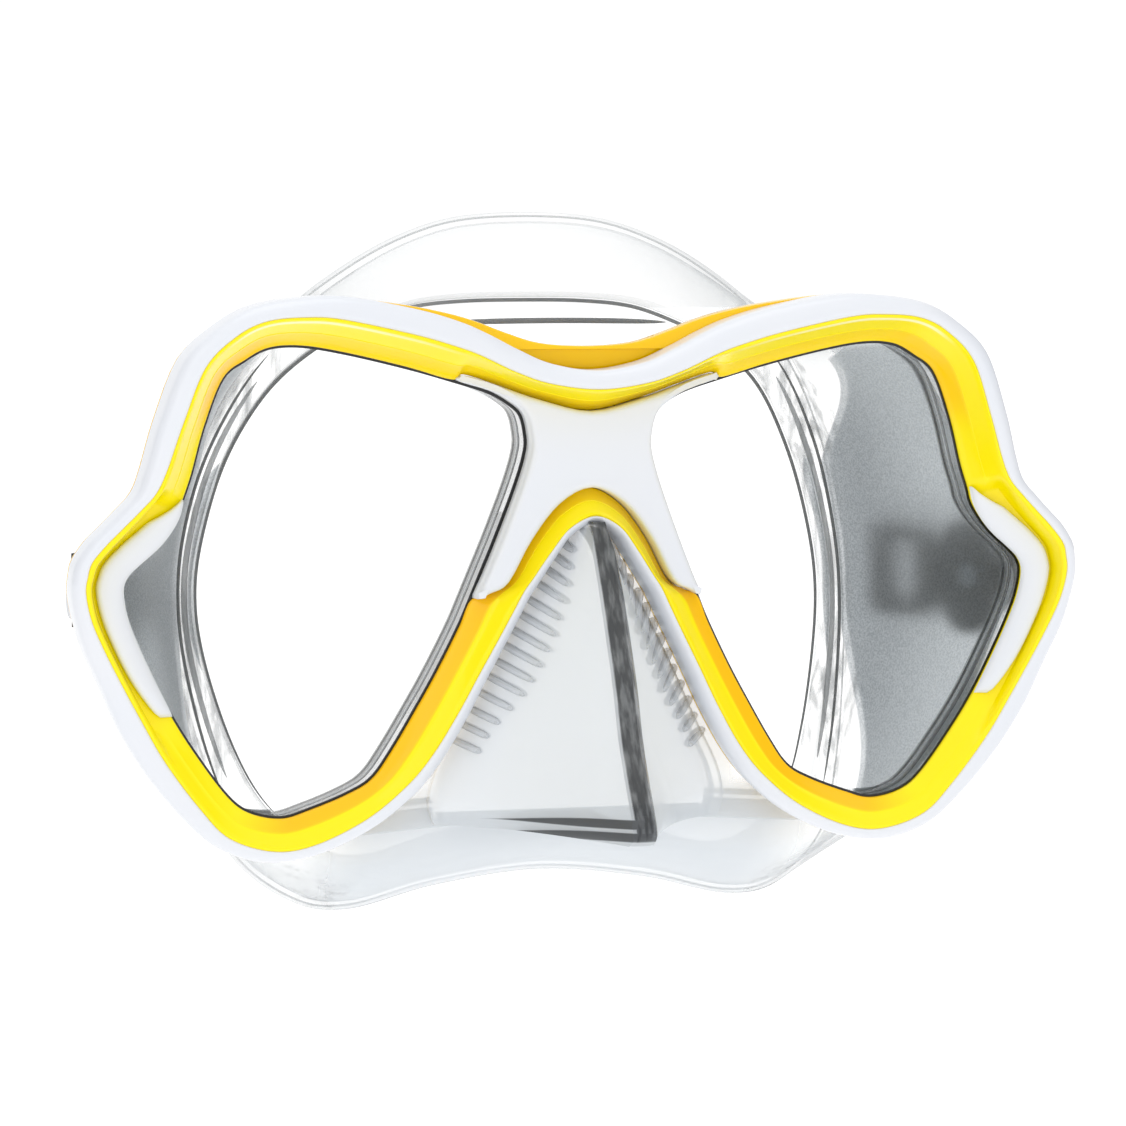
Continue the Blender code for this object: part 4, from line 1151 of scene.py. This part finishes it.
def make_ribs(settings, material):
    """The grip ribs on both flanks of the nose."""
    rib = make_rib(material)
    places, turns, sizes = [], [], []
    for _, side in SIDES:
        for index in range(settings.rib_count):
            z = settings.rib_top - settings.rib_pitch * index
            line = flank_curve(z)
            share = index / (settings.rib_count - 1)
            length = mix(9.0, 14.5, math.sin(math.pi * min(1.0, share * 1.1))) - 1.0 * share**3
            start, _ = along(line, 0.6)
            end, _ = along(line, 0.6 + length)
            place = (start + end) / 2
            direction = ((end - start).normalized() + Vector((0.0, 0.0, -0.3))).normalized()
            outward = Vector((-direction.y, direction.x, 0.0)).normalized()
            if outward.x < 0:
                outward.negate()
            place, direction, outward = (
                Vector((side * v.x, v.y, v.z)) for v in (place, direction, outward)
            )
            across = outward.cross(direction).normalized()
            turn = Matrix((direction, across, direction.cross(across))).transposed()
            places.append((place + outward * 0.15 + DATUM) * MM)
            turns.append(turn.to_euler())
            sizes.append((length, 1.25, 2.2))
    mesh = bpy.data.meshes.new("rib_points")
    mesh.from_pydata(places, [], [])
    for name, rows in (("turn", turns), ("size", sizes)):
        layer = mesh.attributes.new(name, "FLOAT_VECTOR", "POINT")
        for index, row in enumerate(rows):
            layer.data[index].vector = row
    ribs = bpy.data.objects.new("nose_ribs", mesh)
    bpy.context.scene.collection.objects.link(ribs)
    tree = rib_tree()
    modifier = ribs.modifiers.new("ribs", "NODES")
    modifier.node_group = tree
    wanted = {"Rib": rib, "Material": material}
    for socket in tree.interface.items_tree:
        if socket.in_out == "INPUT" and socket.name in wanted:
            modifier[socket.identifier] = wanted[socket.name]
    apply_modifiers(ribs)
    bpy.data.objects.remove(rib, do_unlink=True)
    return ribs


# ---------------------------------------------------------------- settings and operators


def whole_setting(name, description, default):
    return IntProperty(name=name, description=description, default=default)


def size_setting(name, description, default):
    return FloatProperty(name=name, description=description, default=default)


def colour_setting(name, description, default):
    return FloatVectorProperty(
        name=name, description=description, default=default, subtype="COLOR", size=3
    )


class MaskSettings(bpy.types.PropertyGroup):
    """Sizes and colours that a user would change."""

    rim_steps: whole_setting("Rim steps", "Points between two drawn rim points", 8)
    skirt_steps: whole_setting("Skirt steps", "Points between two drawn skirt points", 8)
    skirt_wall: size_setting("Skirt wall", "Silicone thickness in millimetres", 1.6)
    rib_count: whole_setting("Nose ribs", "Grip ribs on each flank", 14)
    rib_top: size_setting("Top rib", "Height of the top rib in millimetres", 3.0)
    rib_pitch: size_setting("Rib pitch", "Rib spacing in millimetres", 2.6)
    edge_power: size_setting("Edge power", "How thin the silicone's dark edge is", 2.6)
    edge_strength: size_setting("Edge strength", "How dark that edge is", 0.9)
    yellow: colour_setting("Yellow", "Bezel colour", (1.0, 0.83, 0.0))
    amber: colour_setting("Amber", "Colour of deep yellow", (1.0, 0.55, 0.0))
    white: colour_setting("White", "Trim colour", (0.78, 0.79, 0.82))
    silicone: colour_setting("Silicone", "Clear silicone", (0.80, 0.84, 0.86))
    silicone_edge: colour_setting("Edge", "Silicone seen edge on", (0.2, 0.215, 0.23))
    nose: colour_setting("Nose", "Matt silicone of the nose", (0.72, 0.76, 0.80))
    frosted: colour_setting("Frosted", "Frosted side walls", (0.27, 0.30, 0.32))
    frosted_front: colour_setting("Front", "Frosted walls near the lenses", (0.50, 0.54, 0.56))


def own(piece, slot, *nodes, body="mask"):
    """Says what a finished piece is: the nodes it stands for and its body. The slot argument is not
    used.
    """
    if nodes:
        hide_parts(*nodes)
    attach(piece, body)


class MASK_OT_frame(bpy.types.Operator):
    """Build the yellow bezel, the white trim, the structural frame and the white covers"""

    bl_idname = "mask.frame"
    bl_label = "Build Frame"

    def execute(self, context):
        settings = context.scene.mask
        yellow, white = yellow_material(settings), white_material(settings)
        steps = settings.rim_steps
        own(make_bezel(steps, yellow), "yellow_gloss", "front_bezel")
        own(make_band(4, yellow), "yellow_gloss", "main_frame")
        own(make_trim(steps, white), "white_satin", "outer_trim")
        own(make_cover(4, white), "white_satin", "bridge_cover")
        for piece in make_temple_covers(6, white):
            own(piece, "white_satin", "temple_cover_" + piece.name.split("_")[-1])
        return {"FINISHED"}


class MASK_OT_lenses(bpy.types.Operator):
    """Build the glass lenses and the black line round them"""

    bl_idname = "mask.lenses"
    bl_label = "Build Lenses"

    def execute(self, context):
        for name, lens, ring in make_lenses(6, glass_material(), edge_material()):
            own(lens, "lens_glass", "lens_" + name)
            own(ring, "black_plastic")
        return {"FINISHED"}


class MASK_OT_skirt(bpy.types.Operator):
    """Build the silicone skirt"""

    bl_idname = "mask.skirt"
    bl_label = "Build Skirt"

    def execute(self, context):
        settings = context.scene.mask
        material = silicone_material(settings)
        own(make_skirt(settings, material), "clear_silicone", "skirt")
        pieces = [*make_seats(6, material), *make_folds(settings.skirt_steps, material)]
        for piece in [*pieces, make_ribs(settings, material)]:
            own(piece, "clear_silicone")
        return {"FINISHED"}


class MASK_OT_buckles(bpy.types.Operator):
    """Finish the buckles' plates, bodies, rollers, levers and pins"""

    bl_idname = "mask.buckles"
    bl_label = "Finish Buckles"

    def execute(self, context):
        black, steel = black_material(), steel_material()
        for name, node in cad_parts.items():
            if node.hide_render:
                continue
            metal = any(word in name for word in ("pin", "axle", "spring"))
            node.data.materials.clear()
            node.data.materials.append(steel if metal else black)
        return {"FINISHED"}


class MASK_OT_stage(bpy.types.Operator):
    """Set the pale floor, the studio light and the camera"""

    bl_idname = "mask.stage"
    bl_label = "Set Stage"

    def execute(self, context):
        make_floor()
        make_world()
        make_lights()
        make_camera()
        context.scene.view_settings.view_transform = "Standard"
        return {"FINISHED"}


def make_floor():
    """A large pale floor well below the mask, as bright as the background."""
    mesh = bpy.data.meshes.new("floor")
    bm = bmesh.new()
    bmesh.ops.create_grid(bm, x_segments=1, y_segments=1, size=6.0)
    bm.to_mesh(mesh)
    bm.free()
    floor = bpy.data.objects.new("floor", mesh)
    floor.location = (0.0, 0.0, CAD_BOUNDS[0][2] - 0.002)
    grey = (0.2, 0.2, 0.2)
    material, _, principled = new_material("pale floor", base_color=grey, roughness=0.9)
    principled.inputs["Emission Color"].default_value = (1.0, 1.0, 1.0, 1.0)
    principled.inputs["Emission Strength"].default_value = 1.0
    mesh.materials.append(material)
    bpy.context.scene.collection.objects.link(floor)


def make_world():
    """White behind the mask; in front of it a studio, bright above and dim at the sides."""
    world = bpy.data.worlds.new("studio")
    bpy.context.scene.world = world
    world.use_nodes = True
    shader = Shader(world.node_tree)
    background = world.node_tree.nodes["Background"]
    place = shader.node("ShaderNodeTexCoord")
    split = shader.node("ShaderNodeSeparateXYZ")
    shader.join(place.outputs["Generated"], split.inputs["Vector"])

    sideways = shader.fade(shader.maths("ABSOLUTE", split.outputs["X"]), 0.45, 0.8, 1.0, 0.35)
    upward = shader.fade(split.outputs["Z"], -0.5, 0.8, 0.72, 1.15)
    studio = shader.maths("MULTIPLY", sideways, upward)
    behind = shader.fade(split.outputs["Y"], 0.6, 0.9, 0.0, 1.05)
    level = shader.maths("MAXIMUM", studio, behind)
    shader.join(level, background.inputs["Strength"])
    background.inputs["Color"].default_value = (1.0, 1.0, 1.0, 1.0)


def add_light(name, place, target, size, power):
    data = bpy.data.lights.new(name, "AREA")
    data.shape = "RECTANGLE"
    data.size, data.size_y = size
    data.energy = power
    light = bpy.data.objects.new(name, data)
    light.location = place
    light.rotation_euler = (Vector(target) - Vector(place)).to_track_quat("-Z", "Y").to_euler()
    bpy.context.scene.collection.objects.link(light)


def make_lights():
    add_light("overhead softbox", (-0.1, -0.15, 0.75), (0.0, 0.0, 0.0), (0.7, 0.5), 1.1)
    add_light("left softbox", (-0.7, -0.6, 0.25), (0.0, 0.0, 0.0), (0.4, 0.7), 0.8)
    add_light("right fill", (0.7, -0.7, 0.1), (0.0, 0.0, 0.0), (0.4, 0.6), 0.25)


def make_camera():
    """The viewer stands a little to the left and slightly above the mask."""
    turn, height, distance = math.radians(-17.0), math.radians(4.0), 0.8
    flat = math.cos(height)
    back = Vector((math.sin(turn) * flat, -math.cos(turn) * flat, math.sin(height)))
    data = bpy.data.cameras.new("camera")
    data.sensor_width = 36.0
    data.lens = 153.9
    data.shift_x = -0.0331
    camera = bpy.data.objects.new("camera", data)
    camera.location = DATUM * MM + back * distance
    camera.rotation_euler = (-back).to_track_quat("-Z", "Y").to_euler()
    bpy.context.scene.collection.objects.link(camera)
    bpy.context.scene.camera = camera


class MASK_PT_panel(bpy.types.Panel):
    """Lists the mask's settings and build steps"""

    bl_idname = "MASK_PT_panel"
    bl_label = "Snorkel Mask"
    bl_space_type = "VIEW_3D"
    bl_region_type = "UI"
    bl_category = "Snorkel Mask"

    def draw(self, context):
        settings = context.scene.mask
        for key in MaskSettings.__annotations__:
            self.layout.prop(settings, key)
        for operator in OPERATORS:
            self.layout.operator(operator.bl_idname)


OPERATORS = (MASK_OT_frame, MASK_OT_lenses, MASK_OT_skirt, MASK_OT_buckles, MASK_OT_stage)


def register():
    for cls in (MaskSettings, *OPERATORS, MASK_PT_panel):
        bpy.utils.register_class(cls)
    bpy.types.Scene.mask = PointerProperty(type=MaskSettings)


def unregister():
    del bpy.types.Scene.mask
    for cls in (MASK_PT_panel, *reversed(OPERATORS), MaskSettings):
        bpy.utils.unregister_class(cls)


def main():
    register()
    bpy.ops.mask.frame()
    bpy.ops.mask.lenses()
    bpy.ops.mask.skirt()
    bpy.ops.mask.buckles()
    bpy.ops.mask.stage()


if __name__ == "__main__":
    main()
